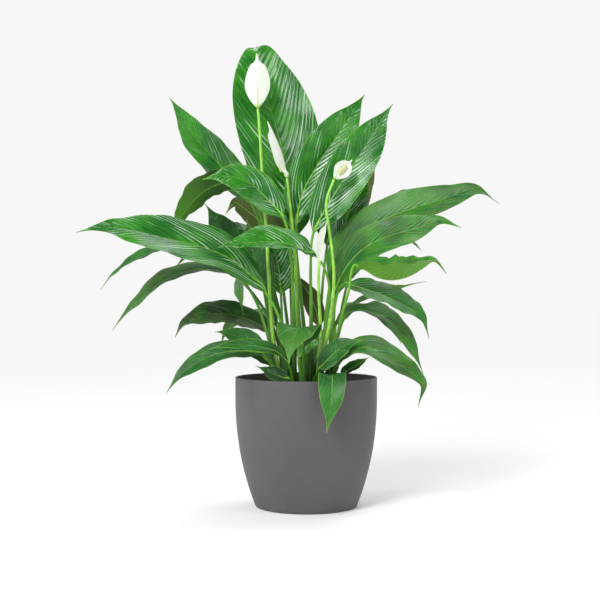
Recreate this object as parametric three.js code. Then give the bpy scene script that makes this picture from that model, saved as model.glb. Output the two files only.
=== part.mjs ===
// Potted peace lily: a plant of arching leaves and white-hooded flowers, rooted in a grower's pot
// that stands inside a tapered cover pot. Millimetres, +Z up. The origin is the centre of the
// cover pot's foot, on the surface it stands on. +X is to the plant's right and -Y is its front.
import * as THREE from "three";

// ---------------------------------------------------------------- driving dimensions
const GROWER_POT = {
  rimRadius: 95, // a 19 cm pot
  wall: 1.6,
  lip: 4, // how far the rim stands out from the wall
  lipHeight: 8,
};
const COVER_POT = {
  footRadius: 82,
  height: 208,
  wall: 3,
  floor: 4,
  sideRoom: 16.5, // air between the two pots at the grower pot's rim
  footRoom: 14, // how much smaller the grower pot is at its foot
  rimDrop: 24, // the grower pot's rim stands this far below the cover pot's
  uprightBand: 28, // the side is upright over this much under the rim
  taperPower: 2.2,
  footRounding: 3,
};
const ROOT_BALL = {
  belowRim: 12, // the soil stops this far under the grower pot's rim
  moundHeight: 3,
};
const FIT_GAP = 0.3; // air between two pieces that touch
const PLANT_SCALE = 1; // stretches every leaf and flower about the middle of the soil

const STALK = {
  footRadius: 4.3,
  nominalFootRadius: 4.3, // the crown positions below are for stalks of this size
  topRadius: 2.1,
  rings: 5,
};
const BLADE = {
  rings: 8,
  midribThickness: 2.4,
  webThickness: 1.1,
  riseExponent: 0.62, // how fast the blade widens from its base
  fallExponent: 0.98, // how fast it narrows to its tip
  facingStation: 0.4, // where along the blade its facing direction is given
};
const FLOWER = {
  stemFootRadius: 3.4,
  stemTopRadius: 2.1,
  stemRings: 9,
  spatheRings: 7,
  spadixRadius: 3.2,
  spadixSides: 8,
  hood: { midrib: 2.2, web: 1.2, riseExponent: 0.75, fallExponent: 0.95 },
};
const FACETS = { coverPot: 48, growerPot: 36 };

// ---------------------------------------------------------------- derived places
const coverRimRadius = GROWER_POT.rimRadius + COVER_POT.sideRoom + COVER_POT.wall;
const growerFootRadius = COVER_POT.footRadius - COVER_POT.footRoom;
const growerFloorZ = COVER_POT.floor + FIT_GAP;
const growerRimZ = COVER_POT.height - COVER_POT.rimDrop;
const soilTopZ = growerRimZ - ROOT_BALL.belowRim;

const COLOURS = {
  coverPot: { color: 0x64625f, roughness: 0.62, metalness: 0 },
  growerPot: { color: 0x1d1c1b, roughness: 0.6, metalness: 0 },
  soil: { color: 0x2e2119, roughness: 0.95, metalness: 0 },
  leaf: { color: 0x2a7d2c, roughness: 0.32, metalness: 0 },
  stem: { color: 0x6aa82c, roughness: 0.45, metalness: 0 },
  spathe: { color: 0xf2f5ea, roughness: 0.5, metalness: 0 },
  spadix: { color: 0xdfe3a6, roughness: 0.8, metalness: 0 },
};

const plant = new THREE.Group();

function addMesh(name, geometry, finish) {
  const mesh = new THREE.Mesh(geometry, new THREE.MeshStandardMaterial(COLOURS[finish]));
  mesh.name = name;
  plant.add(mesh);
  return mesh;
}

// ---------------------------------------------------------------- pots and root ball
function lathe(profile, facets) {
  const points = profile.map(([radius, z]) => new THREE.Vector2(radius, z));
  return new THREE.LatheGeometry(points, facets).rotateX(Math.PI / 2);
}

function coverPotRadius(z) {
  const { footRadius, uprightBand, height, taperPower } = COVER_POT;
  const below = Math.max(0, 1 - z / (height - uprightBand));
  return coverRimRadius - (coverRimRadius - footRadius) * below ** taperPower;
}

function coverPotProfile() {
  const { height, wall, floor, footRounding } = COVER_POT;
  const outer = [
    [0, 0],
    [coverPotRadius(0) - footRounding, 0],
    [coverPotRadius(0) - footRounding * 0.3, footRounding * 0.3],
  ];
  const steps = 8;
  for (let i = 0; i <= steps; i++) {
    const z = footRounding + ((height - wall / 2 - footRounding) * i) / steps;
    outer.push([coverPotRadius(z), z]);
  }
  outer.push([coverPotRadius(height) - wall / 2, height]);
  const inner = [];
  for (let i = steps; i >= 0; i--) {
    const z = floor + ((height - wall / 2 - floor) * i) / steps;
    inner.push([coverPotRadius(z) - wall, z]);
  }
  return [...outer, ...inner, [0, floor]];
}

function growerPotRadius(z) {
  const share = (z - growerFloorZ) / (growerRimZ - growerFloorZ);
  const top = GROWER_POT.rimRadius - GROWER_POT.lip;
  return growerFootRadius + (top - growerFootRadius) * share;
}

function growerPotProfile() {
  const { rimRadius, wall, lipHeight } = GROWER_POT;
  const lipZ = growerRimZ - lipHeight;
  return [
    [0, growerFloorZ],
    [growerFootRadius, growerFloorZ],
    [growerPotRadius(lipZ), lipZ],
    [rimRadius, lipZ],
    [rimRadius, growerRimZ],
    [growerPotRadius(growerRimZ) - wall, growerRimZ],
    [growerPotRadius(growerFloorZ + wall) - wall, growerFloorZ + wall],
    [0, growerFloorZ + wall],
  ];
}

function rootBallProfile() {
  const { wall } = GROWER_POT;
  const bottomZ = growerFloorZ + wall + FIT_GAP;
  const edgeZ = soilTopZ - ROOT_BALL.moundHeight;
  return [
    [0, bottomZ],
    [growerPotRadius(bottomZ) - wall - FIT_GAP, bottomZ],
    [growerPotRadius(edgeZ) - wall - FIT_GAP, edgeZ],
    [CROWN_RADIUS, soilTopZ],
    [0, soilTopZ],
  ];
}

// ---------------------------------------------------------------- leaves
const CROWN_RADIUS = 52; // the stalks and stems rise from this middle part of the soil

// Every leaf is one closed skin of rings, eight points to a ring, from the foot of its stalk to
// the tip of its blade. Points are [x, y, height above the soil]; the foot is polar, [radius,
// direction in degrees] from the middle of the crown. "faces" is the way the blade's upper side looks.
const LEAVES = [
  {
    name: "leaf_top_centre",
    foot: [10, 110],
    stalk: [[-12, 16, 130]],
    blade: [
      [-25, 22, 280], [-30, 30, 346], [-43, 38, 422], [-61, 44, 484], [-77, 52, 549],
      [-84, 68, 588], [-92, 100, 590],
    ],
    width: 132,
    faces: [0.1, -1, 0.1],
    fold: 12,
  },
  {
    name: "leaf_upper_right_back",
    foot: [10, 20],
    stalk: [[-6, 4, 140]],
    blade: [[-16, 2, 283], [-5, 2, 335], [19, 6, 381], [52, 16, 431], [79, 28, 473], [94, 42, 498]],
    width: 74,
    faces: [0, -1, 0.15],
    fold: 16,
  },
  {
    name: "leaf_upper_right_front",
    foot: [11, 315],
    stalk: [[8, -12, 130]],
    blade: [
      [12, -18, 269], [33, -22, 309], [62, -22, 357], [86, -18, 394], [111, -10, 434],
      [136, 2, 475],
    ],
    width: 72,
    faces: [0, -1, 0.1],
    fold: 16,
  },
  {
    name: "leaf_upper_left",
    foot: [21, 160],
    stalk: [[-38, 25, 110], [-56, 32, 190], [-70, 31, 266]],
    blade: [
      [-91, 31, 320], [-116, 31, 353], [-149, 31, 390], [-178, 29, 421], [-205, 23, 463],
      [-219, 15, 488],
    ],
    width: 60,
    faces: [0.25, -0.9, 0.3],
    fold: 14,
  },
  {
    name: "leaf_left_arch",
    foot: [21, 208],
    stalk: [[-20, -22, 125], [-25, -27, 229]],
    blade: [[-37, -32, 291], [-61, -38, 319], [-89, -44, 344], [-121, -48, 355], [-158, -51, 354]],
    width: 52,
    faces: [-0.1, -0.9, 0.45],
    fold: 14,
  },
  {
    name: "leaf_left_droop",
    foot: [21, 184],
    stalk: [[-46, 0, 110], [-57, 3, 200], [-72, 0, 290]],
    blade: [
      [-101, -8, 344], [-130, -10, 349], [-158, -12, 339], [-184, -14, 316], [-201, -14, 294],
      [-213, -12, 272],
    ],
    width: 66,
    faces: [-0.4, 0.5, 0.75],
    fold: 10,
  },
  {
    name: "leaf_left_long",
    foot: [32, 201],
    stalk: [[-31, -25, 85], [-48, -32, 144]],
    blade: [
      [-65, -40, 173], [-89, -55, 200], [-127, -72, 229], [-179, -92, 246], [-239, -108, 260],
      [-290, -118, 270], [-342, -125, 267],
    ],
    width: 84,
    faces: [0, -0.75, 0.65],
    fold: 12,
  },
  {
    name: "leaf_far_left_small",
    foot: [44, 138],
    stalk: [[-52, 46, 108], [-98, 52, 182]],
    blade: [
      [-150, 52, 220], [-192, 54, 241], [-239, 56, 245], [-282, 58, 229], [-318, 60, 208],
      [-339, 60, 186],
    ],
    width: 46,
    faces: [-0.2, -0.4, 0.9],
    fold: 14,
  },
  {
    name: "leaf_left_low",
    foot: [45, 198],
    stalk: [[-59, -20, 92], [-80, -17, 157]],
    blade: [
      [-107, -14, 196], [-146, -17, 208], [-194, -25, 205], [-233, -32, 187], [-267, -36, 159],
      [-303, -38, 120],
    ],
    width: 48,
    faces: [-0.3, -0.45, 0.8],
    fold: 14,
  },
  {
    name: "leaf_left_back_dark",
    foot: [32, 146],
    stalk: [[-46, 42, 110]],
    blade: [[-75, 50, 206], [-100, 62, 232], [-126, 72, 257], [-148, 78, 288], [-167, 82, 320]],
    width: 66,
    faces: [0.4, -0.7, 0.5],
    fold: 14,
  },
  {
    name: "leaf_left_back_brown",
    foot: [21, 135],
    stalk: [[-22, 24, 100], [-26, 34, 189]],
    blade: [
      [-32, 38, 258], [-56, 46, 279], [-81, 55, 296], [-103, 63, 313], [-117, 67, 324],
      [-132, 70, 314],
    ],
    width: 56,
    faces: [-0.25, 0.75, 0.6],
    fold: 14,
  },
  {
    name: "leaf_front_glossy",
    foot: [27, 318],
    stalk: [[30, -20, 93], [37, -28, 173], [30, -37, 211]],
    blade: [
      [15, -45, 230], [-7, -55, 240], [-35, -66, 249], [-69, -78, 250], [-99, -88, 248],
      [-130, -95, 245],
    ],
    width: 58,
    faces: [0.1, -0.65, 0.75],
    fold: 22,
  },
  {
    name: "leaf_left_fan",
    foot: [43, 179],
    stalk: [[-56, -5, 110]],
    blade: [[-65, -5, 172], [-76, -4, 206], [-86, -4, 236], [-92, -4, 262], [-96, -4, 284]],
    width: 54,
    faces: [0, -1, 0.1],
    fold: 12,
  },

  {
    name: "leaf_left_hanging",
    foot: [46, 164],
    stalk: [[-62, 14, 130], [-70, 18, 180]],
    blade: [[-77, 20, 202], [-88, 20, 214], [-101, 17, 206], [-107, 11, 182], [-103, 4, 143]],
    width: 34,
    faces: [-0.6, -0.3, 0.75],
    fold: 12,
  },
  {
    name: "leaf_centre_upright",
    foot: [32, 167],
    stalk: [[-38, 12, 90]],
    blade: [[-41, 14, 170], [-44, 14, 206], [-50, 14, 238], [-56, 14, 262], [-60, 14, 280]],
    width: 60,
    faces: [0.1, -1, 0.1],
    fold: 14,
  },
  {
    name: "leaf_right_upright",
    foot: [21, 18],
    stalk: [[36, 10, 130]],
    blade: [[50, 10, 245], [63, 12, 284], [76, 18, 320], [88, 26, 357], [98, 34, 387]],
    width: 50,
    faces: [-0.05, -1, 0.1],
    fold: 14,
  },
  {
    name: "leaf_right_upright_brown",
    foot: [21, 50],
    stalk: [[36, 24, 130]],
    blade: [[49, 32, 240], [64, 40, 281], [83, 50, 328], [103, 58, 370], [117, 66, 399]],
    width: 62,
    faces: [-0.3, 0.85, 0.35],
    fold: 12,
  },
  {
    name: "leaf_right_long",
    foot: [21, 350],
    stalk: [[28, 2, 90]],
    blade: [
      [38, -4, 181], [54, -12, 226], [84, -22, 265], [123, -32, 288], [170, -42, 305],
      [225, -50, 322], [272, -56, 335], [290, -58, 335], [297, -60, 318],
    ],
    width: 66,
    faces: [0, -0.8, 0.55],
    fold: 14,
  },
  {
    name: "leaf_right_second",
    foot: [32, 346],
    stalk: [[38, -6, 80]],
    blade: [
      [43, -15, 160], [61, -31, 208], [88, -46, 239], [126, -61, 259], [173, -75, 272],
      [210, -84, 285], [222, -86, 288], [232, -88, 277],
    ],
    width: 58,
    faces: [0.1, -0.8, 0.55],
    fold: 14,
  },
  {
    name: "leaf_right_back_rolled",
    foot: [34, 34],
    stalk: [[44, 38, 110]],
    blade: [
      [54, 60, 219], [74, 74, 256], [104, 84, 286], [137, 92, 315], [164, 98, 342],
      [175, 101, 350], [188, 103, 349],
    ],
    width: 46,
    faces: [-0.35, 0.6, 0.7],
    fold: 16,
  },
  {
    name: "leaf_right_boat",
    foot: [44, 331],
    stalk: [[50, -45, 109], [67, -79, 180]],
    blade: [
      [77, -86, 215], [103, -94, 198], [133, -101, 191], [166, -106, 201], [195, -109, 219],
      [209, -111, 209],
    ],
    width: 84,
    faces: [0.1, -0.25, 0.95],
    fold: 46,
  },
  {
    name: "leaf_right_dark",
    foot: [35, 328],
    stalk: [[38, -26, 90], [45, -34, 150]],
    blade: [
      [57, -48, 184], [88, -62, 178], [123, -72, 166], [155, -80, 150], [179, -86, 132],
      [188, -87, 112],
    ],
    width: 56,
    faces: [0.3, -0.6, 0.75],
    fold: 12,
  },
  {
    name: "leaf_right_back_thin",
    foot: [42, 14],
    stalk: [[46, 18, 70]],
    blade: [[52, 22, 131], [78, 30, 152], [114, 38, 167], [157, 46, 180], [194, 52, 192]],
    width: 34,
    faces: [0, 0.3, 0.95],
    fold: 12,
  },
  {
    name: "leaf_right_twisted",
    foot: [42, 354],
    stalk: [[42, 3, 70]],
    blade: [
      [46, 4, 118], [72, -4, 142], [104, -14, 141], [129, -22, 130], [152, -30, 106],
      [169, -36, 81], [182, -40, 53],
    ],
    width: 44,
    faces: [0.3, -0.5, 0.8],
    fold: 14,
    twist: 30,
  },
  {
    name: "leaf_low_right_front",
    foot: [43, 318],
    stalk: [[37, -38, 20]],
    blade: [
      [42, -46, 42], [56, -58, 66], [71, -70, 82], [86, -80, 88], [110, -90, 80],
      [136, -98, 66], [160, -104, 49], [178, -108, 30], [181, -109, 20], [170, -110, 9],
    ],
    width: 48,
    faces: [0.1, -0.65, 0.75],
    fold: 14,
  },
  {
    name: "leaf_over_rim",
    foot: [43, 303],
    stalk: [[26, -50, 26]],
    overRim: [[35, -41, 0], [38, -17, 8], [39, 7, 6], [38, 19, -14], [36, 25, -35], [32, 27, -66]],
    width: 42,
    faces: [0, -0.9, 0.5],
    fold: 12,
  },
  {
    name: "leaf_rim_left",
    foot: [46, 238],
    stalk: [[-20, -46, 22]],
    blade: [[-26, -52, 34], [-40, -62, 40], [-56, -70, 46], [-74, -76, 56]],
    width: 28,
    faces: [0.1, -0.8, 0.6],
    fold: 12,
  },
  {
    name: "leaf_low_left_front",
    foot: [40, 225],
    stalk: [[-46, -40, 46]],
    blade: [
      [-66, -48, 73], [-98, -61, 80], [-132, -71, 78], [-166, -81, 64], [-194, -89, 44],
      [-213, -93, 26],
    ],
    width: 44,
    faces: [-0.15, -0.65, 0.75],
    fold: 12,
  },
  {
    name: "leaf_low_left_dark",
    foot: [47, 212],
    stalk: [[-50, -30, 36]],
    blade: [[-58, -32, 57], [-79, -34, 80], [-103, -36, 98], [-122, -38, 106], [-140, -40, 111]],
    width: 44,
    faces: [0.1, -0.7, 0.7],
    fold: 14,
  },
  {
    name: "leaf_low_left_brown",
    foot: [46, 152],
    stalk: [[-50, 26, 60]],
    blade: [
      [-56, 28, 103], [-84, 26, 123], [-115, 20, 134], [-152, 12, 138], [-185, 6, 128],
      [-203, 3, 123], [-210, 0, 109],
    ],
    width: 60,
    faces: [-0.1, -0.6, 0.8],
    fold: 10,
  },
  {
    name: "leaf_low_left_thin",
    foot: [32, 242],
    stalk: [[-22, -44, 36]],
    blade: [[-28, -54, 58], [-44, -68, 78], [-70, -82, 87], [-104, -94, 91], [-142, -104, 89]],
    width: 24,
    faces: [-0.1, -0.8, 0.6],
    fold: 16,
  },
  {
    name: "leaf_front_fold",
    foot: [32, 262],
    stalk: [[-4, -34, 50]],
    blade: [
      [-5, -44, 86], [-7, -60, 108], [-11, -85, 117], [-17, -108, 108], [-23, -124, 94],
      [-27, -134, 74],
    ],
    width: 66,
    faces: [0, -0.3, 0.95],
    fold: 10,
  },

  {
    name: "leaf_inner_bright",
    foot: [22, 272],
    stalk: [[-8, -26, 40]],
    blade: [[-12, -28, 67], [3, -32, 87], [25, -36, 94]],
    width: 20,
    faces: [0, -0.9, 0.5],
    fold: 12,
  },
  {
    name: "leaf_inner_right",
    foot: [42, 288],
    stalk: [[12, -50, 30]],
    blade: [[19, -66, 50], [44, -78, 78], [64, -84, 92], [80, -88, 99]],
    width: 38,
    faces: [-0.2, -0.8, 0.6],
    fold: 12,
  },
  {
    name: "leaf_low_right_light",
    foot: [48, 345],
    stalk: [[52, -20, 26]],
    blade: [[56, -24, 41], [76, -30, 54], [97, -36, 68]],
    width: 24,
    faces: [0.2, 0.5, 0.8],
    fold: 12,
  },
  {
    name: "leaf_back_centre_brown",
    foot: [21, 80],
    stalk: [[18, 26, 70]],
    blade: [[22, 32, 116], [10, 44, 160], [-5, 54, 185], [-15, 62, 202]],
    width: 32,
    faces: [-0.3, 0.8, 0.5],
    fold: 12,
  },
  {
    name: "leaf_back_tall",
    foot: [21, 108],
    stalk: [[-12, 40, 130]],
    blade: [[-20, 62, 262], [-30, 84, 320], [-42, 108, 372], [-56, 140, 410], [-66, 176, 424]],
    width: 84,
    faces: [0.1, -0.85, 0.5],
    fold: 14,
  },
  {
    name: "leaf_back_upper_right",
    foot: [34, 72],
    stalk: [[24, 60, 140]],
    blade: [[36, 84, 252], [52, 104, 310], [68, 128, 352], [82, 158, 376], [92, 190, 380]],
    width: 70,
    faces: [-0.1, -0.7, 0.7],
    fold: 14,
  },
  {
    name: "leaf_back_right",
    foot: [44, 26],
    stalk: [[54, 40, 110]],
    blade: [[72, 62, 194], [104, 92, 238], [138, 122, 262], [172, 150, 268], [202, 172, 254]],
    width: 64,
    faces: [0.1, -0.1, 1],
    fold: 14,
  },
  {
    name: "leaf_back_left",
    foot: [45, 124],
    stalk: [[-46, 60, 110]],
    blade: [[-76, 84, 196], [-116, 114, 234], [-157, 140, 246], [-198, 163, 240], [-231, 180, 222]],
    width: 66,
    faces: [0, -0.1, 1],
    fold: 14,
  },
  {
    name: "leaf_back_mid_left",
    foot: [34, 122],
    stalk: [[-32, 46, 130]],
    blade: [[-50, 74, 236], [-76, 104, 274], [-98, 134, 288], [-116, 166, 280], [-128, 196, 256]],
    width: 62,
    faces: [-0.1, 0, 1],
    fold: 14,
  },
  {
    name: "leaf_back_low_right",
    foot: [46, 46],
    stalk: [[48, 54, 70]],
    blade: [[64, 76, 128], [92, 104, 150], [120, 128, 146], [146, 150, 124], [164, 166, 92]],
    width: 52,
    faces: [0.2, 0.2, 1],
    fold: 12,
  },
  {
    name: "leaf_back_low_left",
    foot: [46, 104],
    stalk: [[-28, 64, 66]],
    blade: [[-52, 88, 118], [-78, 116, 140], [-104, 142, 138], [-130, 164, 118], [-150, 180, 88]],
    width: 54,
    faces: [-0.2, 0.2, 1],
    fold: 12,
  },
  {
    name: "leaf_back_low_centre",
    foot: [46, 84],
    stalk: [[6, 58, 56]],
    blade: [[8, 84, 92], [10, 116, 104], [8, 148, 90], [4, 174, 58], [0, 188, 22]],
    width: 56,
    faces: [0, 0.4, 1],
    fold: 12,
  },
];

// ---------------------------------------------------------------- flowers
// A flower is a stem, a white hood (the spathe) and, where it has opened, a spadix in front of
// the hood's inner side. "faces" is the way the hood's inner side looks.
const FLOWERS = [
  {
    name: "flower_tall",
    foot: [32, 184],
    stem: [
      [-50, -14, 76], [-58, -18, 157], [-63, -18, 254], [-67, -16, 310], [-71, -13, 367],
      [-75, -9, 431], [-77, -7, 454],
    ],
    hood: [[-78, -5, 470], [-79, -2, 500], [-79, 2, 538], [-80, 4, 560]],
    width: 44,
    faces: [0, 1, 0.1],
    fold: 20,
    spadixLength: 34,
  },
  {
    name: "flower_side",
    foot: [10, 228],
    stem: [[-14, -7, 125], [-18, -9, 221], [-24, -13, 294], [-29, -15, 338]],
    hood: [[-31, -16, 356], [-38, -17, 390], [-51, -19, 424], [-62, -20, 446]],
    width: 34,
    faces: [-0.95, -0.1, -0.3],
    fold: 52,
    spadixLength: 32,
  },
  {
    name: "flower_open",
    foot: [20, 300],
    stem: [
      [34, -46, 109], [42, -56, 172], [43, -58, 212], [38, -56, 252], [32, -52, 306],
      [32, -51, 329], [38, -50, 345],
    ],
    hood: [[44, -50, 351], [56, -48, 364], [72, -46, 381]],
    width: 28,
    faces: [0.1, -1, 0.1],
    fold: 14,
    spadixLength: 24,
  },
  {
    name: "flower_bud",
    foot: [33, 296],
    stem: [[22, -54, 109], [19, -62, 172], [19, -63, 202]],
    hood: [[20, -63, 218], [24, -63, 250], [32, -61, 284]],
    width: 20,
    faces: [-0.4, -1, 0],
    fold: 50,
  },
];

const toVector = ([x, y, height]) =>
  new THREE.Vector3(x * PLANT_SCALE, y * PLANT_SCALE, soilTopZ + height * PLANT_SCALE);

// A point of a leaf that hangs over the cover pot's front: [x, out from the rim, up from it].
function fromRim([x, out, up]) {
  const y = -Math.sqrt((coverRimRadius + out) ** 2 - x ** 2);
  return new THREE.Vector3(x, y, COVER_POT.height + up);
}

// Thicker stalks stand further apart on the crown.
function footPoint([nominalRadius, degrees]) {
  const angle = THREE.MathUtils.degToRad(degrees);
  const radius = nominalRadius * (STALK.footRadius / STALK.nominalFootRadius);
  return new THREE.Vector3(
    radius * Math.cos(angle),
    radius * Math.sin(angle),
    soilTopZ + FIT_GAP,
  );
}

// Evenly spaced stations along the curve through the points, from share 0 to share 1 of it.
function curveThrough(points) {
  return new THREE.CatmullRomCurve3(points, false, "centripetal");
}

// One upward direction at every station: the given one at one station, carried along the rest.
function carriedNormals(tangents, given, at) {
  const normals = new Array(tangents.length);
  const flatten = (normal, tangent) =>
    normal.clone().addScaledVector(tangent, -normal.dot(tangent)).normalize();
  normals[at] = flatten(given, tangents[at]);
  for (let i = at + 1; i < tangents.length; i++) normals[i] = flatten(normals[i - 1], tangents[i]);
  for (let i = at - 1; i >= 0; i--) normals[i] = flatten(normals[i + 1], tangents[i]);
  return normals;
}

// A closed skin through rings of equal count, with a fan at each end.
function skinOverRings(rings) {
  const count = rings[0].length;
  const positions = rings.flat().flatMap((p) => [p.x, p.y, p.z]);
  const index = [];
  for (let r = 0; r + 1 < rings.length; r++)
    for (let k = 0; k < count; k++) {
      const a = r * count + k;
      const b = r * count + ((k + 1) % count);
      // both faces of a blade are split the same way, so that a twisted blade keeps its thickness
      const split = k < count / 2 ? [a, b, b + count, a + count] : [b, b + count, a + count, a];
      index.push(split[0], split[1], split[2], split[0], split[2], split[3]);
    }
  for (const [ring, forward] of [[0, false], [rings.length - 1, true]]) {
    const centre = rings[ring].reduce((sum, p) => sum.add(p), new THREE.Vector3());
    centre.divideScalar(count);
    const hub = positions.length / 3;
    positions.push(centre.x, centre.y, centre.z);
    for (let k = 0; k < count; k++) {
      const a = ring * count + k;
      const b = ring * count + ((k + 1) % count);
      index.push(...(forward ? [a, b, hub] : [b, a, hub]));
    }
  }
  const geometry = new THREE.BufferGeometry();
  geometry.setAttribute("position", new THREE.Float32BufferAttribute(positions, 3));
  geometry.setIndex(index);
  return geometry;
}

const RING_ANGLES = [0, 45, 90, 135, 180, 225, 270, 315].map(THREE.MathUtils.degToRad);

// Eight points about a stalk: across is its width direction, up is its upper side.
function stalkRing(centre, across, up, radius) {
  return RING_ANGLES.map((angle) =>
    centre
      .clone()
      .addScaledVector(across, radius * Math.cos(angle))
      .addScaledVector(up, radius * Math.sin(angle)),
  );
}

// The foot of a stalk is cut level, so that it sits on the soil.
function levelFoot(ring, foot) {
  for (const p of ring) p.z = foot.z;
}

// Eight points about a blade: two thin halves that rise from the midrib by the fold angle.
function bladeRing(centre, across, up, halfWidth, foldDegrees, thickness) {
  const fold = THREE.MathUtils.degToRad(foldDegrees);
  const webOffset = thickness.web / 2;
  const at = (side, share, lift) =>
    centre
      .clone()
      .addScaledVector(across, side * share * halfWidth * Math.cos(fold))
      .addScaledVector(up, share * halfWidth * Math.sin(fold) + lift);
  return [
    at(1, 1, 0),
    at(1, 0.5, webOffset),
    at(0, 0, thickness.midrib / 2),
    at(-1, 0.5, webOffset),
    at(-1, 1, 0),
    at(-1, 0.5, -webOffset),
    at(0, 0, -thickness.midrib / 2),
    at(1, 0.5, -webOffset),
  ];
}

function bladeShare(t, rise, fall) {
  const peak = rise / (rise + fall);
  const outline = (s) => s ** rise * (1 - s) ** fall;
  return outline(t) / outline(peak);
}

function leafGeometry(leaf) {
  const stalkPoints = [footPoint(leaf.foot), ...leaf.stalk.map(toVector)];
  const bladePoints = leaf.overRim ? leaf.overRim.map(fromRim) : leaf.blade.map(toVector);
  const curve = curveThrough([...stalkPoints, ...bladePoints]);
  const baseShare = shareOfPoint(curve, stalkPoints.length);
  const stations = [];
  for (let i = 0; i < STALK.rings; i++) stations.push({ u: (baseShare * i) / STALK.rings });
  for (let i = 0; i <= BLADE.rings; i++) {
    const t = i / BLADE.rings;
    stations.push({ u: baseShare + (1 - baseShare) * t, t });
  }
  for (const station of stations) {
    station.point = curve.getPointAt(station.u);
    station.tangent = curve.getTangentAt(station.u);
  }
  const facingIndex = STALK.rings + Math.round(BLADE.facingStation * BLADE.rings);
  const normals = carriedNormals(
    stations.map((s) => s.tangent),
    new THREE.Vector3(...leaf.faces),
    facingIndex,
  );
  const tipWidth = 0.9;
  const rings = stations.map((station, i) => {
    const { point, tangent, t } = station;
    const up = normals[i].clone();
    if (leaf.twist && t !== undefined)
      up.applyAxisAngle(tangent, THREE.MathUtils.degToRad(leaf.twist * (t - BLADE.facingStation)));
    const across = new THREE.Vector3().crossVectors(up, tangent);
    if (t === undefined || t === 0) {
      const share = t === 0 ? 1 : station.u / baseShare;
      const radius = THREE.MathUtils.lerp(STALK.footRadius, STALK.topRadius, Math.sqrt(share));
      return stalkRing(point, across, up, radius);
    }
    const share = bladeShare(t, BLADE.riseExponent, BLADE.fallExponent);
    const halfWidth = (leaf.width / 2) * PLANT_SCALE * share;
    const thin = 1 - 0.6 * t;
    return bladeRing(point, across, up, Math.max(halfWidth, tipWidth), leaf.fold, {
      midrib: BLADE.midribThickness * thin,
      web: BLADE.webThickness * thin,
    });
  });
  levelFoot(rings[0], stalkPoints[0]);
  return skinOverRings(rings);
}

// How far along the curve, by length, the point with the given number lies.
function shareOfPoint(curve, pointNumber) {
  const samples = 400;
  const lengths = curve.getLengths(samples);
  const nearest = Math.round((pointNumber / (curve.points.length - 1)) * samples);
  return lengths[nearest] / lengths[samples];
}

// ---------------------------------------------------------------- flower pieces
function flowerFrames(flower) {
  const stemPoints = [footPoint(flower.foot), ...flower.stem.map(toVector)];
  const hoodPoints = flower.hood.map(toVector);
  const curve = curveThrough([...stemPoints, ...hoodPoints]);
  const hoodShare = shareOfPoint(curve, stemPoints.length);
  return { foot: flower.foot, curve, hoodShare, length: curve.getLength() };
}

function stemGeometry({ foot, curve, hoodShare, length }) {
  const end = hoodShare - FIT_GAP / length;
  const rings = [];
  const tangents = [];
  for (let i = 0; i <= FLOWER.stemRings; i++)
    tangents.push(curve.getTangentAt((end * i) / FLOWER.stemRings));
  const normals = carriedNormals(tangents, new THREE.Vector3(0, -1, 0.1), 1);
  for (let i = 0; i <= FLOWER.stemRings; i++) {
    const share = i / FLOWER.stemRings;
    const centre = curve.getPointAt(end * share);
    const across = new THREE.Vector3().crossVectors(normals[i], tangents[i]);
    const radius = THREE.MathUtils.lerp(FLOWER.stemFootRadius, FLOWER.stemTopRadius, share);
    rings.push(stalkRing(centre, across, normals[i], radius));
  }
  levelFoot(rings[0], footPoint(foot));
  return skinOverRings(rings);
}

// The hood begins as a ring over the end of the stem and opens to its full width above it.
function hoodGeometry(flower, { curve, hoodShare, length }) {
  const start = hoodShare + FIT_GAP / length;
  const count = FLOWER.spatheRings;
  const shares = [];
  for (let i = 0; i <= count; i++) shares.push(start + ((1 - start) * i) / count);
  const tangents = shares.map((u) => curve.getTangentAt(u));
  const normals = carriedNormals(tangents, new THREE.Vector3(...flower.faces), Math.floor(count / 2));
  const rings = shares.map((u, i) => {
    const centre = curve.getPointAt(u);
    const across = new THREE.Vector3().crossVectors(normals[i], tangents[i]);
    if (i === 0) return stalkRing(centre, across, normals[i], FLOWER.stemTopRadius);
    const { riseExponent, fallExponent } = FLOWER.hood;
    const share = bladeShare(i / count, riseExponent, fallExponent);
    const half = (flower.width / 2) * PLANT_SCALE * share;
    return bladeRing(centre, across, normals[i], Math.max(half, 0.9), flower.fold, FLOWER.hood);
  });
  return skinOverRings(rings);
}

// A blunt finger of florets that stands beside the hood's inner side, clear of it.
function spadixGeometry(flower, { curve, hoodShare, length }) {
  const foot = curve.getPointAt(hoodShare + 5 / length);
  const along = curve.getTangentAt(hoodShare + 10 / length);
  const normal = new THREE.Vector3(...flower.faces);
  normal.addScaledVector(along, -normal.dot(along)).normalize();
  const profile = [
    [0, 0],
    [0.7, 0.02],
    [1, 0.14],
    [1, 0.5],
    [0.92, 0.84],
    [0.55, 0.97],
    [0, 1],
  ];
  const points = profile.map(
    ([r, t]) => new THREE.Vector2(r * FLOWER.spadixRadius, t * flower.spadixLength),
  );
  const geometry = new THREE.LatheGeometry(points, FLOWER.spadixSides);
  const turn = new THREE.Quaternion().setFromUnitVectors(new THREE.Vector3(0, 1, 0), along);
  const fold = THREE.MathUtils.degToRad(flower.fold);
  const reach = FLOWER.spadixRadius + FLOWER.hood.midrib / 2 + FIT_GAP;
  const standoff = reach / Math.cos(fold);
  const place = foot.clone().addScaledVector(normal, standoff);
  return geometry.applyQuaternion(turn).translate(place.x, place.y, place.z);
}

for (const leaf of LEAVES) addMesh(leaf.name, leafGeometry(leaf), "leaf");

for (const flower of FLOWERS) {
  const frames = flowerFrames(flower);
  addMesh(`${flower.name}_stem`, stemGeometry(frames), "stem");
  addMesh(`${flower.name}_spathe`, hoodGeometry(flower, frames), "spathe");
  if (flower.spadixLength)
    addMesh(`${flower.name}_spadix`, spadixGeometry(flower, frames), "spadix");
}

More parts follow.
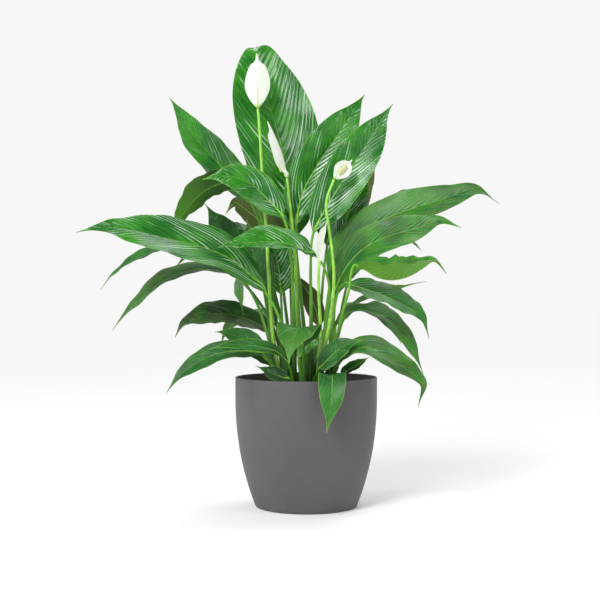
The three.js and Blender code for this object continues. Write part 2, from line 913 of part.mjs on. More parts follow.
addMesh("cover_pot", lathe(coverPotProfile(), FACETS.coverPot), "coverPot");
addMesh("grower_pot", lathe(growerPotProfile(), FACETS.growerPot), "growerPot");
addMesh("root_ball", lathe(rootBallProfile(), FACETS.growerPot), "soil");

export default plant;
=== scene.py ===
"""A potted peace lily: glossy veined leaves, white hooded flowers, compost and a matt grey pot.

Sizes are in metres. The frame holds the plain solids, and each piece here is built on the solid
whose place it takes.
"""

import math

import bmesh
import bpy
import numpy as np
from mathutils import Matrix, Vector


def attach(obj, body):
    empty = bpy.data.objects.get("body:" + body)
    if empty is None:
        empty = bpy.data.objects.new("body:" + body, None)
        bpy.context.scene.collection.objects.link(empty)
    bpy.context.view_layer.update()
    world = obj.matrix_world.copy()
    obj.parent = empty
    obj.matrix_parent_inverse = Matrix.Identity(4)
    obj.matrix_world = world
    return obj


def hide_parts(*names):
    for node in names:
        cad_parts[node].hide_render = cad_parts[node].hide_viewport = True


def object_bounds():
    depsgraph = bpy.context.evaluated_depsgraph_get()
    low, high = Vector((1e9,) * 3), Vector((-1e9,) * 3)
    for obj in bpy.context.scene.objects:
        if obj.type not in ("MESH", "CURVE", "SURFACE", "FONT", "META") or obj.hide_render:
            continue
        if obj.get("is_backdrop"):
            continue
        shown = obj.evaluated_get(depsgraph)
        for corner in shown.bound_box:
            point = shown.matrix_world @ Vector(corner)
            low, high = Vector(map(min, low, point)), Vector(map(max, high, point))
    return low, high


bl_info = {
    "name": "Peace lily in a pot",
    "version": (1, 0, 0),
    "blender": (4, 5, 0),
    "location": "3D View > Sidebar > Peace lily",
    "description": "Builds the leaves, flowers, compost and pots of a peace lily",
    "category": "Add Mesh",
}

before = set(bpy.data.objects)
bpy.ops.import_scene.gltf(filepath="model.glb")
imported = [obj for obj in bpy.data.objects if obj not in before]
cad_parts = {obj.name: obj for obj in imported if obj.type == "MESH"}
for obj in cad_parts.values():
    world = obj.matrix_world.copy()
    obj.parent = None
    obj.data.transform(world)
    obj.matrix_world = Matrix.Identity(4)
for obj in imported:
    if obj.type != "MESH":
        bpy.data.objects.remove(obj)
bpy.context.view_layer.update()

LEAF_NODES = sorted(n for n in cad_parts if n.startswith("leaf_"))
STEM_NODES = sorted(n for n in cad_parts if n.endswith("_stem"))
SPATHE_NODES = sorted(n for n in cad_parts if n.endswith("_spathe"))
SPADIX_NODES = sorted(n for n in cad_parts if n.endswith("_spadix"))

# How old each leaf looks, from below 0 (new and pale) to 1 (dark), where it isn't the usual value; the dark
# end is partly real age and partly painted shade on leaves that sit in the plant's shadow.
LEAF_AGE_AND_SHADE = {
    "leaf_left_droop": 0.75,
    "leaf_left_back_dark": 0.9,
    "leaf_left_fan": 0.85,
    "leaf_left_hanging": 0.35,
    "leaf_left_low": 0.7,
    "leaf_far_left_small": 0.75,
    "leaf_low_left_brown": 0.95,
    "leaf_low_left_dark": 0.8,
    "leaf_low_left_front": 0.6,
    "leaf_low_left_thin": 0.7,
    "leaf_rim_left": 0.8,
    "leaf_front_fold": 0.8,
    "leaf_inner_right": 0.8,
    "leaf_low_right_light": 0.5,
    "leaf_right_dark": 0.3,
    "leaf_right_twisted": 0.5,
    "leaf_right_second": 0.5,
    "leaf_right_boat": -0.35,
    "leaf_over_rim": 0.6,
    "leaf_right_long": 0.45,
    "leaf_low_right_front": 0.4,
    "leaf_back_centre_brown": 0.9,
}
# How brown the veins and edges are.
LEAF_BROWNNESS = {
    "leaf_left_back_brown": 1.0,
    "leaf_right_upright_brown": 0.9,
    "leaf_right_back_rolled": 0.9,
    "leaf_low_left_brown": 0.7,
    "leaf_left_low": 0.6,
    "leaf_back_centre_brown": 0.9,
    "leaf_right_upright": 0.4,
    "leaf_right_twisted": 0.5,
    "leaf_right_second": 0.5,
    "leaf_right_long": 0.5,
    "leaf_right_boat": 0.35,
    "leaf_low_right_front": 0.5,
}
# How strongly the painted highlight streaks show between the veins; it also sets how much a blade ripples and
# how glossy it is.
LEAF_SHINE = {
    "leaf_top_centre": 1.0,
    "leaf_upper_right_back": 1.0,
    "leaf_upper_right_front": 1.0,
    "leaf_right_upright": 1.0,
    "leaf_left_long": 0.8,
    "leaf_left_arch": 0.8,
    "leaf_front_glossy": 1.0,
    "leaf_centre_upright": 0.9,
    "leaf_inner_bright": 0.8,
    "leaf_upper_left": 0.45,
    "leaf_left_hanging": 0.6,
    "leaf_over_rim": 0.05,
    "leaf_right_long": 0.08,
    "leaf_right_second": 0.12,
    "leaf_right_boat": 0.05,
}
# How yellow-green a leaf turns towards its tip.
LEAF_TIP_GLOW = {
    "leaf_left_droop": 0.75,
    "leaf_left_hanging": 0.6,
    "leaf_front_fold": 0.35,
    "leaf_right_back_thin": 0.4,
}
USUAL_SHINE = 0.25
USUAL_AGE_AND_SHADE = 0.25
USUAL_BROWNNESS = 0.12


# ------------------------------------------------------------------ settings
def colour_setting(name, description, default):
    return bpy.props.FloatVectorProperty(
        name=name,
        description=description,
        subtype="COLOR",
        size=3,
        min=0.0,
        max=1.0,
        default=default,
    )


def length_setting(name, description, default):
    return bpy.props.FloatProperty(
        name=name,
        description=description,
        subtype="DISTANCE",
        unit="LENGTH",
        default=default,
        min=0.0,
        precision=5,
    )


class LeafSettings(bpy.types.PropertyGroup):
    """Sizes and colours of the leaves."""

    ring_spacing: length_setting("Ring spacing", "Distance between the rings of a blade", 0.0024)
    segment: length_setting("Segment", "Width of one face of a blade", 0.0021)
    stalk_spacing: length_setting("Stalk ring spacing", "Distance between the rings of a stalk", 0.008)
    ripple: length_setting("Ripple", "How far the blade rises between two side veins", 0.00085)
    edge_wave: length_setting("Edge wave", "How far the blade's edge waves", 0.0017)
    thickness: length_setting("Thickness", "Thickness of the blade between its veins", 0.0006)
    rib_width: length_setting("Midrib width", "Half the width of the midrib at the blade's base", 0.0019)
    deep: colour_setting("Deep green", "Colour of an old blade", (0.004, 0.050, 0.008))
    middle: colour_setting("Middle green", "Colour of most of a blade", (0.004, 0.140, 0.007))
    bright: colour_setting("Bright green", "Colour of a blade's lighter bands", (0.034, 0.275, 0.008))
    pale: colour_setting("Pale green", "Colour of the midrib and the edge", (0.270, 0.540, 0.060))
    # painted highlight: the pale colour of the glare streaks, painted into the blade between its veins
    painted_glare: colour_setting("Gleam", "Colour of the waxy streaks between veins", (0.560, 0.720, 0.560))
    underside: colour_setting("Underside", "Colour of the underside", (0.060, 0.170, 0.022))
    brown: colour_setting("Brown", "Colour of ageing veins and edges", (0.170, 0.115, 0.040))
    stalk: colour_setting("Stalk", "Colour of the stalk under the blade", (0.120, 0.380, 0.030))
    # painted shade: a stalk's dark foot stands in for the shade inside the crown
    shaded_stalk_foot: colour_setting("Stalk foot", "Colour of the stalk at the soil", (0.018, 0.080, 0.010))


class FlowerSettings(bpy.types.PropertyGroup):
    """Sizes and colours of the flowers."""

    florets: bpy.props.IntProperty(
        name="Florets", description="Florets on a spadix", default=210, min=10
    )
    floret_size: length_setting("Floret size", "Radius of one floret", 0.00085)
    white: colour_setting("Spathe white", "Colour of the open hood", (0.740, 0.765, 0.690))
    green: colour_setting("Spathe green", "Colour of the hood's rib and tip", (0.420, 0.620, 0.120))
    stem: colour_setting("Stem", "Colour of the flower stem", (0.210, 0.480, 0.035))
    spadix: colour_setting("Spadix", "Colour of the florets", (0.690, 0.730, 0.330))


class PotSettings(bpy.types.PropertyGroup):
    """Sizes and colours of the two pots."""

    facets: bpy.props.IntProperty(name="Facets", description="Facets round a pot", default=176, min=24)
    lip: length_setting("Lip", "Rounding of the cover pot's rim", 0.0014)
    grey: colour_setting("Cover pot", "Colour of the cover pot", (0.084, 0.079, 0.081))
    warm: colour_setting("Cover pot, warm", "Colour of the cover pot's warmer patches", (0.104, 0.092, 0.087))
    inside: colour_setting("Grower pot", "Colour of the grower pot", (0.020, 0.019, 0.018))


class SoilSettings(bpy.types.PropertyGroup):
    """Sizes and colours of the compost."""

    crumb: length_setting("Crumb size", "Radius of a usual crumb", 0.0026)
    density: bpy.props.FloatProperty(
        name="Crumbs", description="Crumbs on a square metre", default=62000.0, min=0.0
    )
    seed: bpy.props.IntProperty(name="Seed", description="Arrangement of the crumbs", default=4)
    dark: colour_setting("Dark compost", "Colour of damp compost", (0.016, 0.010, 0.006))
    light: colour_setting("Light compost", "Colour of dry fibres and bark", (0.110, 0.062, 0.034))


class StageSettings(bpy.types.PropertyGroup):
    """The floor, the lamps and the camera."""

    floor: colour_setting("Floor", "Colour of the floor", (0.950, 0.950, 0.950))
    floor_radius: length_setting("Floor radius", "Radius of the floor", 9.0)
    camera_distance: length_setting("Camera distance", "From the camera to the pot's axis", 1.84)
    camera_height: length_setting("Camera height", "Height of the camera", 0.332)
    camera_side: length_setting("Camera side", "How far left of the pot's axis it stands", 0.010)
    lens: bpy.props.FloatProperty(name="Lens", description="Focal length in millimetres", default=68.2)
    backdrop: bpy.props.FloatProperty(
        name="Backdrop", description="Light from the wall behind the plant", default=0.93
    )
    walls: bpy.props.FloatProperty(
        name="Walls", description="Light from the other walls", default=0.58
    )
    ceiling: bpy.props.FloatProperty(
        name="Ceiling", description="Light from the ceiling", default=0.30
    )


# ------------------------------------------------------------------ node trees
class Wiring:
    """Adds nodes to one tree and links them."""

    def __init__(self, tree):
        self.tree = tree

    def feed(self, socket, value):
        if isinstance(value, bpy.types.NodeSocket):
            self.tree.links.new(value, socket)
        elif isinstance(value, bpy.types.Node):
            self.tree.links.new(value.outputs[0], socket)
        else:
            socket.default_value = value

    def add(self, kind, inputs=None, **settings):
        node = self.tree.nodes.new(kind)
        for key, value in settings.items():
            setattr(node, key, value)
        for key, value in (inputs or {}).items():
            self.feed(node.inputs[key], value)
        return node

    def math(self, operation, *values):
        node = self.add("ShaderNodeMath", operation=operation)
        for socket, value in zip(node.inputs, values):
            self.feed(socket, value)
        return node.outputs[0]

    def span(self, value, low, high, to_low=0.0, to_high=1.0):
        """A smooth step of the value from low to high."""
        node = self.add("ShaderNodeMapRange", interpolation_type="SMOOTHSTEP")
        for key, number in zip(range(5), (value, low, high, to_low, to_high)):
            self.feed(node.inputs[key], number)
        return node.outputs[0]

    def blend(self, share, first, second, how="MIX"):
        node = self.add("ShaderNodeMix", data_type="RGBA", blend_type=how)
        for key, value in ((0, share), (6, first), (7, second)):
            self.feed(node.inputs[key], value)
        return node.outputs[2]

    def attribute(self, name):
        return self.add("ShaderNodeAttribute", attribute_name=name).outputs["Fac"]

    def noise(self, vector, scale, detail=3.0, rough=0.5):
        inputs = {"Vector": vector, "Scale": scale, "Detail": detail, "Roughness": rough}
        return self.add("ShaderNodeTexNoise", inputs).outputs["Fac"]

    def place(self):
        return self.add("ShaderNodeTexCoord").outputs["Object"]

    def vector(self, x, y, z=0.0):
        return self.add("ShaderNodeCombineXYZ", {0: x, 1: y, 2: z}).outputs[0]


def rgba(colour):
    return (*colour, 1.0)


def new_material(name):
    """An empty surface: the wiring, its Principled shader and the material."""
    material = bpy.data.materials.new(name)
    material.use_nodes = True
    nodes = material.node_tree.nodes
    return Wiring(material.node_tree), nodes["Principled BSDF"], material


def bump(wiring, shader, height, distance, strength):
    node = wiring.add("ShaderNodeBump", {"Height": height, "Distance": distance, "Strength": strength})
    wiring.feed(shader.inputs["Normal"], node.outputs[0])


# ------------------------------------------------------------------ finishes
def leaf_finish(look):
    w, shader, material = new_material("living_leaf")
    place = w.place()
    vein = w.attribute("vein")
    across = w.attribute("across")
    age_and_shade = w.attribute("age_and_shade")
    brownness = w.attribute("brownness")
    under = w.attribute("underside")
    along = w.attribute("along")
    rib = w.attribute("rib_distance")
    rim = w.attribute("edge_distance")

    to_vein = w.math("PINGPONG", vein, 0.5)
    groove = w.span(to_vein, 0.0, 0.11, 1.0, 0.0)
    crest = w.span(to_vein, 0.10, 0.48)
    shine = w.attribute("shine")
    # painted highlight: glare streaks on one slope of each vein wave, stronger on shinier leaves and gone at
    # the tip
    slope = w.math("FRACT", vein)
    slope = w.math("MULTIPLY", w.span(slope, 0.08, 0.30), w.span(slope, 0.62, 0.38))
    painted_glare_place = w.vector(w.math("MULTIPLY", vein, 0.42), w.math("MULTIPLY", across, 1.5), age_and_shade)
    painted_glare = w.math("ADD", w.noise(painted_glare_place, 1.0, 2.5, 0.6), w.math("MULTIPLY", slope, 0.20))
    painted_glare = w.math("MULTIPLY", w.span(painted_glare, 0.66, 0.86), shine)
    painted_glare = w.math("MULTIPLY", painted_glare, w.span(along, 0.98, 0.86))
    fine_vein = w.span(w.math("PINGPONG", w.math("MULTIPLY", vein, 5.0), 0.5), 0.0, 0.3, 1.0, 0.0)
    band_place = w.vector(w.math("MULTIPLY", vein, 1.35), w.math("MULTIPLY", across, 1.6), age_and_shade)
    bands = w.noise(band_place, 1.0, 2.0, 0.5)
    clouds = w.noise(place, 21.0, 3.0)

    fresh = w.blend(w.span(clouds, 0.34, 0.68), rgba(look.middle), rgba(look.bright))
    old = w.blend(w.span(clouds, 0.35, 0.72), rgba(look.deep), rgba(look.middle))
    # old leaves take the dark greens; for leaves in the plant's shadow this darkening is painted shade
    top = w.blend(w.span(age_and_shade, 0.15, 0.95), fresh, old)
    top = w.blend(w.math("MULTIPLY", w.span(bands, 0.52, 0.75), 0.42), top, rgba(look.bright))
    top = w.blend(w.math("MULTIPLY", w.span(bands, 0.48, 0.28), 0.45), top, rgba(look.deep))
    # painted shade: the upper face darkens in its vein grooves
    top = w.blend(w.math("MULTIPLY", groove, 0.45), top, rgba(look.deep))
    top = w.blend(w.math("MULTIPLY", fine_vein, 0.10), top, rgba(look.deep))
    brown_lines = w.math("MULTIPLY", w.math("MULTIPLY", brownness, 0.9), w.span(bands, 0.36, 0.60))
    top = w.blend(w.math("MULTIPLY", brown_lines, w.span(to_vein, 0.38, 0.05)), top, rgba(look.brown))
    glow = w.math("MULTIPLY", w.attribute("tip_glow"), w.span(along, 0.25, 0.95))
    top = w.blend(glow, top, rgba(look.stalk))
    # the glare streaks are painted in here as a pale highlight colour
    top = w.blend(w.math("MULTIPLY", painted_glare, 0.8), top, rgba(look.painted_glare))
    midrib = w.span(rib, 0.95, 0.35)
    rib_tone = w.math("MULTIPLY", midrib, w.span(along, 0.0, 0.7, 0.85, 0.18))
    top = w.blend(rib_tone, top, rgba(look.pale))

    low = w.blend(w.span(clouds, 0.3, 0.7), rgba(look.middle), rgba(look.underside))
    low = w.blend(w.math("MULTIPLY", w.span(age_and_shade, 0.3, 1.0), 0.65), low, rgba(look.deep))
    low = w.blend(w.span(age_and_shade, 0.1, -0.4, 0.0, 0.8), low, rgba(look.stalk))
    # painted shade: the underside darkens along the vein grooves
    low = w.blend(w.math("MULTIPLY", groove, 0.55), low, rgba(look.middle))
    low_brown = w.math("MULTIPLY", brownness, w.span(to_vein, 0.36, 0.06, 0.12, 1.0))
    low = w.blend(w.math("MULTIPLY", low_brown, 0.9), low, rgba(look.brown))
    low = w.blend(glow, low, rgba(look.stalk))
    low = w.blend(w.math("MULTIPLY", midrib, 0.7), low, rgba(look.pale))
    blade = w.blend(under, top, low)
    edge = w.span(rim, 0.0011, 0.0002)
    edge_tone = w.blend(brownness, rgba(look.pale), rgba(look.brown))
    blade = w.blend(w.math("MULTIPLY", edge, 0.55), blade, edge_tone)
    blade = w.blend(w.span(along, 0.985, 1.0, 0.0, 0.5), blade, rgba(look.brown))

    stripes = w.noise(w.vector(w.math("MULTIPLY", across, 7.0), w.math("MULTIPLY", along, 3.0), age_and_shade), 1.0)
    # painted shade: each stalk darkens towards the compost, where the crown shades it
    stalk = w.blend(w.span(along, -0.15, -0.90), rgba(look.stalk), rgba(look.shaded_stalk_foot))
    stalk = w.blend(w.math("MULTIPLY", w.span(stripes, 0.45, 0.7), 0.4), stalk, rgba(look.pale))
    stalk = w.blend(w.math("MULTIPLY", w.span(age_and_shade, 0.3, 1.0), 0.35), stalk, rgba(look.deep))
    colour = w.blend(w.span(along, -0.02, 0.05), stalk, blade)
    w.feed(shader.inputs["Base Color"], colour)

    gloss = w.math("ADD", w.span(bands, 0.2, 0.8, 0.17, 0.30), w.math("MULTIPLY", under, 0.26))
    gloss = w.math("ADD", gloss, w.math("MULTIPLY", w.span(age_and_shade, 0.3, 1.0), 0.08))
    gloss = w.math("SUBTRACT", gloss, w.math("MULTIPLY", painted_glare, 0.08))
    gloss = w.math("ADD", gloss, w.span(shine, 0.9, 0.1, 0.0, 0.24))
    w.feed(shader.inputs["Roughness"], gloss)
    shader.inputs["Coat Weight"].default_value = 0.10
    shader.inputs["Coat Roughness"].default_value = 0.22
    shader.inputs["Specular IOR Level"].default_value = 0.36

    height = w.math("MULTIPLY", crest, 0.6)
    height = w.math("SUBTRACT", height, w.math("MULTIPLY", groove, 0.5))
    height = w.math("SUBTRACT", height, w.math("MULTIPLY", fine_vein, 0.04))
    height = w.math("ADD", height, w.math("MULTIPLY", bands, 0.22))
    height = w.math("ADD", height, w.math("MULTIPLY", w.noise(place, 260.0, 2.0), 0.06))
    bump(w, shader, height, 0.0006, 0.4)
    return material


def stem_finish(look):
    w, shader, material = new_material("flower_stem_skin")
    place = w.place()
    along = w.attribute("along")
    stretched = w.add("ShaderNodeMapping", {"Vector": place, "Scale": (1.0, 1.0, 0.06)}).outputs[0]
    streaks = w.noise(stretched, 900.0, 3.0)
    pale = rgba([min(1.0, c * 1.5 + 0.05) for c in look.stem])
    dark = rgba([c * 0.45 for c in look.stem])
    colour = w.blend(w.span(streaks, 0.4, 0.65), rgba(look.stem), pale)
    # painted shade: the stem darkens towards its foot, inside the crown
    colour = w.blend(w.span(along, 0.25, 0.0, 0.0, 0.8), colour, dark)
    colour = w.blend(w.span(w.noise(place, 30.0), 0.5, 0.7, 0.0, 0.35), colour, dark)
    w.feed(shader.inputs["Base Color"], colour)
    w.feed(shader.inputs["Roughness"], w.span(streaks, 0.2, 0.8, 0.28, 0.46))
    shader.inputs["Coat Weight"].default_value = 0.2
    shader.inputs["Coat Roughness"].default_value = 0.25
    bump(w, shader, streaks, 0.0003, 0.5)
    return material


def spathe_finish(look):
    w, shader, material = new_material("spathe_petal")
    place = w.place()
    along = w.attribute("along")
    rib = w.attribute("rib_distance")
    vein = w.attribute("vein")
    under = w.attribute("underside")
    to_vein = w.math("PINGPONG", vein, 0.5)
    lines = w.span(to_vein, 0.0, 0.25, 1.0, 0.0)
    clouds = w.noise(place, 60.0, 3.0)
    cool = rgba([look.white[0] * 0.88, look.white[1] * 0.94, look.white[2] * 0.93])
    colour = w.blend(w.span(clouds, 0.35, 0.7, 0.0, 0.6), rgba(look.white), cool)
    colour = w.blend(w.math("MULTIPLY", lines, 0.14), colour, rgba(look.green))
    rib_band = w.math("MULTIPLY", w.span(rib, 0.0016, 0.0004), w.span(along, 0.75, 0.1))
    rib_band = w.math("MULTIPLY", rib_band, w.span(under, 0.0, 1.0, 0.35, 1.0))
    colour = w.blend(rib_band, colour, rgba(look.green))
    ends = w.math("ADD", w.span(along, 0.10, 0.0, 0.0, 0.75), w.span(along, 0.90, 1.0, 0.0, 0.55))
    colour = w.blend(ends, colour, rgba(look.green))
    w.feed(shader.inputs["Base Color"], colour)
    w.feed(shader.inputs["Roughness"], w.span(clouds, 0.2, 0.8, 0.42, 0.58))
    shader.inputs["Subsurface Weight"].default_value = 0.12
    shader.inputs["Subsurface Radius"].default_value = (0.004, 0.005, 0.003)
    shader.inputs["Subsurface Scale"].default_value = 0.5
    shader.inputs["Sheen Weight"].default_value = 0.08
    grain = w.math("MULTIPLY", w.noise(place, 700.0), 0.2)
    height = w.math("SUBTRACT", grain, w.math("MULTIPLY", lines, 0.5))
    bump(w, shader, height, 0.0004, 0.5)
    return material


def spadix_finish(look):
    w, shader, material = new_material("spadix_florets")
    place = w.place()
    bead = w.attribute("bead")
    fine = w.noise(place, 1600.0, 2.0)
    pale = rgba([min(1.0, c * 1.18 + 0.04) for c in look.spadix])
    dull = rgba([c * 0.62 for c in look.spadix])
    colour = w.blend(w.span(bead, 0.2, 0.9), rgba(look.spadix), pale)
    colour = w.blend(w.span(fine, 0.62, 0.4, 0.0, 0.6), colour, dull)
    w.feed(shader.inputs["Base Color"], colour)
    w.feed(shader.inputs["Roughness"], w.span(fine, 0.3, 0.7, 0.55, 0.8))
    bump(w, shader, fine, 0.0003, 0.6)
    return material


def cover_pot_finish(look):
    w, shader, material = new_material("cover_pot_matt_shell")
    place = w.place()
    clouds = w.noise(place, 6.0, 3.0)
    mottle = w.noise(place, 55.0, 5.0, 0.65)
    grain = w.noise(place, 1500.0, 3.0, 0.6)
    dark = rgba([c * 0.80 for c in look.grey])
    colour = w.blend(w.span(clouds, 0.4, 0.65, 0.0, 0.75), rgba(look.grey), rgba(look.warm))
    colour = w.blend(w.span(mottle, 0.42, 0.62, 0.30, 0.0), colour, dark)
    colour = w.blend(w.span(grain, 0.56, 0.72, 0.0, 0.35), colour, rgba([c * 1.35 for c in look.grey]))
    colour = w.blend(w.span(grain, 0.42, 0.30, 0.0, 0.45), colour, dark)
    # painted shade: the pot darkens over its lowest 12 mm, next to the floor
    height = w.add("ShaderNodeSeparateXYZ", {0: place}).outputs[2]
    colour = w.blend(w.span(height, 0.012, 0.0, 0.0, 0.35), colour, dark)
    w.feed(shader.inputs["Base Color"], colour)
    rough = w.math("ADD", w.span(grain, 0.3, 0.7, 0.50, 0.62), w.span(mottle, 0.4, 0.6, 0.0, 0.06))
    w.feed(shader.inputs["Roughness"], rough)
    relief = w.math("ADD", grain, w.math("MULTIPLY", mottle, 0.6))
    bump(w, shader, relief, 0.00022, 0.45)
    return material


def grower_pot_finish(look):
    w, shader, material = new_material("grower_pot_plastic")
    place = w.place()
    grain = w.noise(place, 700.0, 3.0)
    dust = w.noise(place, 40.0, 4.0, 0.7)
    dusty = rgba([c * 2.6 + 0.01 for c in look.inside])
    colour = w.blend(w.span(dust, 0.5, 0.75, 0.0, 0.7), rgba(look.inside), dusty)
    w.feed(shader.inputs["Base Color"], colour)
    w.feed(shader.inputs["Roughness"], w.span(grain, 0.3, 0.7, 0.38, 0.58))
    bump(w, shader, grain, 0.0002, 0.5)
    return material


def soil_finish(look, name):
    w, shader, material = new_material(name)
    place = w.place()
    tone = w.attribute("crumb_tone")
    clumps = w.noise(place, 160.0, 5.0, 0.7)
    fibre = w.noise(place, 900.0, 4.0, 0.7)
    colour = w.blend(w.span(clumps, 0.35, 0.7), rgba(look.dark), rgba(look.light))
    colour = w.blend(w.span(tone, 0.0, 0.9, 0.0, 0.6), colour, rgba(look.light))
    grit = w.math("GREATER_THAN", tone, 0.955)
    colour = w.blend(w.math("MULTIPLY", grit, 0.85), colour, (0.62, 0.58, 0.50, 1.0))
    colour = w.blend(w.span(fibre, 0.6, 0.35, 0.0, 0.6), colour, rgba(look.dark))
    w.feed(shader.inputs["Base Color"], colour)
    w.feed(shader.inputs["Roughness"], w.span(fibre, 0.3, 0.7, 0.75, 0.98))
    bump(w, shader, w.math("ADD", clumps, fibre), 0.0012, 0.8)
    return material


def floor_finish(look):
    w, shader, material = new_material("pale_floor")
    faint = w.noise(w.place(), 3.0, 2.0)
    shade = rgba([c * 0.985 for c in look.floor])
    w.feed(shader.inputs["Base Color"], w.blend(faint, rgba(look.floor), shade))
    shader.inputs["Roughness"].default_value = 0.85
    return material


# ------------------------------------------------------------------ meshes
def add_piece(name, points, faces, material, smooth=True):
    """A mesh object at the origin, with its faces pointing outwards."""
    mesh = bpy.data.meshes.new(name)
    mesh.from_pydata([tuple(p) for p in points], [], [tuple(f) for f in faces])
    mesh.materials.append(material)
    mesh.update()
    face_up(mesh)
    if smooth:
        mesh.shade_smooth()
    piece = bpy.data.objects.new(name, mesh)
    bpy.context.scene.collection.objects.link(piece)
    return piece


def face_up(mesh):
    """Turns every face over if the closed mesh is inside out."""
    mesh.calc_loop_triangles()
    spots = np.empty(len(mesh.vertices) * 3)
    mesh.vertices.foreach_get("co", spots)
    spots = spots.reshape(-1, 3)
    corners = np.empty(len(mesh.loop_triangles) * 3, dtype=np.int32)
    mesh.loop_triangles.foreach_get("vertices", corners)
    a, b, c = spots[corners.reshape(-1, 3)].transpose(1, 0, 2)
    if np.einsum("ij,ij->i", a, np.cross(b, c)).sum() < 0:
        mesh.flip_normals()


def store(mesh, name, values):
    """Keeps one number for each vertex, for the material to read."""
    layer = mesh.attributes.new(name, "FLOAT", "POINT")
    layer.data.foreach_set("value", np.asarray(values, dtype=np.float32).ravel())


def unit(vectors):
    return vectors / np.maximum(np.linalg.norm(vectors, axis=-1, keepdims=True), 1e-12)


def smooth_through(knots, values, at):
    """A smooth curve through values at the knots, read at each place in at."""
    slopes = np.gradient(values, knots, axis=0)
    i = np.clip(np.searchsorted(knots, at, side="right") - 1, 0, len(knots) - 2)
    span = (knots[i + 1] - knots[i])[:, None]
    t = (at - knots[i])[:, None] / span
    return (
        values[i] * (2 * t**3 - 3 * t**2 + 1)
        + slopes[i] * span * (t**3 - 2 * t**2 + t)
        + values[i + 1] * (3 * t**2 - 2 * t**3)
        + slopes[i + 1] * span * (t**3 - t**2)
    )


RING = 8  # points in each ring of a plain solid
STALK_RINGS = 5  # rings of a leaf's stalk, before the one where its blade begins


def read_rings(node):
    """The rings of a plain solid from its foot to its tip, as arrays of eight points."""
    solid = bmesh.new()
    solid.from_mesh(node.data)
    bmesh.ops.remove_doubles(solid, verts=solid.verts, dist=2e-6)
    hubs = [v for v in solid.verts if len(v.link_edges) == RING]
    if len(hubs) != 2:
        raise RuntimeError(f"{node.name} has {len(hubs)} end points, not 2")
    spread = [np.mean([e.calc_length() for e in hub.link_edges]) for hub in hubs]
    level = [e.other_vert(hubs[int(np.argmax(spread))]) for e in hubs[int(np.argmax(spread))].link_edges]
    seen = {hubs[int(np.argmax(spread))]}
    rings = []
    while len(level) == RING:
        rings.append(np.array([v.co[:] for v in walk_round(level)]))
        seen.update(level)
        step = {e.other_vert(v) for v in level for e in v.link_edges} - seen
        level = sorted(step, key=lambda v: v.index)
    solid.free()
    return rings


def walk_round(level):
    """The points of one ring in their order round it."""
    members = set(level)
    path = [level[0]]
    while len(path) < len(level):
        ahead = [e.other_vert(path[-1]) for e in path[-1].link_edges]
        ahead = [v for v in ahead if v in members and v not in path]
        path.append(ahead[0])
    return path


class Spine:
    """Where a leaf, stem or hood runs: its middle, its width direction and its upper side."""

    def __init__(self, rings, first_blade):
        count = len(rings)
        pairs = [[ring[k] - ring[k + 4] for k in range(4)] for ring in rings]
        self.across = np.zeros((count, 3))
        self.half = np.zeros(count)
        centres = [ring.mean(axis=0) for ring in rings]
        if first_blade < count:
            widest = first_blade + int(
                np.argmax([np.linalg.norm(p, axis=1).max() for p in pairs[first_blade:]])
            )
            best = int(np.argmax(np.linalg.norm(pairs[widest], axis=1)))
            ring = rings[widest]
            ribs = (ring[best + 2] + ring[(best + 6) % RING]) / 2
            rise = (ring[best] + ring[best + 4]) / 2 - ribs
            flat = np.linalg.norm(pairs[widest][best]) / 2
            self.fold = math.atan2(np.linalg.norm(rise), flat)
            up = unit(rise)
            chosen = {widest: pairs[widest][best]}
            for step in (1, -1):
                i = widest + step
                while first_blade <= i < count:
                    last = chosen[i - step]
                    k = int(np.argmax([abs(np.dot(p, unit(last))) for p in pairs[i]]))
                    chosen[i] = pairs[i][k] * math.copysign(1, np.dot(pairs[i][k], last))
                    ring = rings[i]
                    centres[i] = (ring[(k + 2) % RING] + ring[(k + 6) % RING]) / 2
                    i += step
            centres[widest] = ribs
            for i, pair in chosen.items():
                self.across[i] = unit(pair)
                self.half[i] = np.linalg.norm(pair) / 2 / math.cos(self.fold)
        else:
            self.fold = 0.0
            widest = 0
            up = np.array([0.0, -1.0, 0.0])
            self.across[0] = (1.0, 0.0, 0.0)
        self.centres = np.array(centres)
        tangents = unit(np.gradient(self.centres, axis=0))
        for i in range(min(first_blade, count) - 1, -1, -1):
            self.half[i] = np.linalg.norm(rings[i] - centres[i], axis=1).mean()
            if first_blade < count:
                self.across[i] = self.across[i + 1]
        if first_blade >= count:
            for i in range(1, count):
                self.across[i] = self.across[i - 1]
        self.across -= tangents * np.einsum("ij,ij->i", self.across, tangents)[:, None]
        self.across = unit(self.across)
        side = np.cross(tangents[widest], self.across[widest])
        self.sign = 1.0 if np.dot(side, up) > 0 else -1.0
        self.knots = np.concatenate(
            [[0], np.cumsum(np.linalg.norm(np.diff(self.centres, axis=0), axis=1))]
        )

    def at(self, places):
        """Middle, across, up and half width at each distance from the foot."""
        middle = smooth_through(self.knots, self.centres, places)
        tangent = unit(np.gradient(middle, places, axis=0))
        across = smooth_through(self.knots, self.across, places)
        across = unit(across - tangent * np.einsum("ij,ij->i", across, tangent)[:, None])
        up = np.cross(tangent, across) * self.sign
        half = smooth_through(self.knots, self.half[:, None], places)[:, 0]
        # where a thin stalk meets a wide blade the curve must not dip below the stalk
        before = np.searchsorted(self.knots, places, side="right") - 1
        before = np.clip(before, 0, len(self.knots) - 2)
        thinner = np.minimum(self.half[before], self.half[before + 1])
        return middle, across, up, np.maximum(half, thinner)


SEGMENTS = 32  # faces over the width of a hood, on each side of it


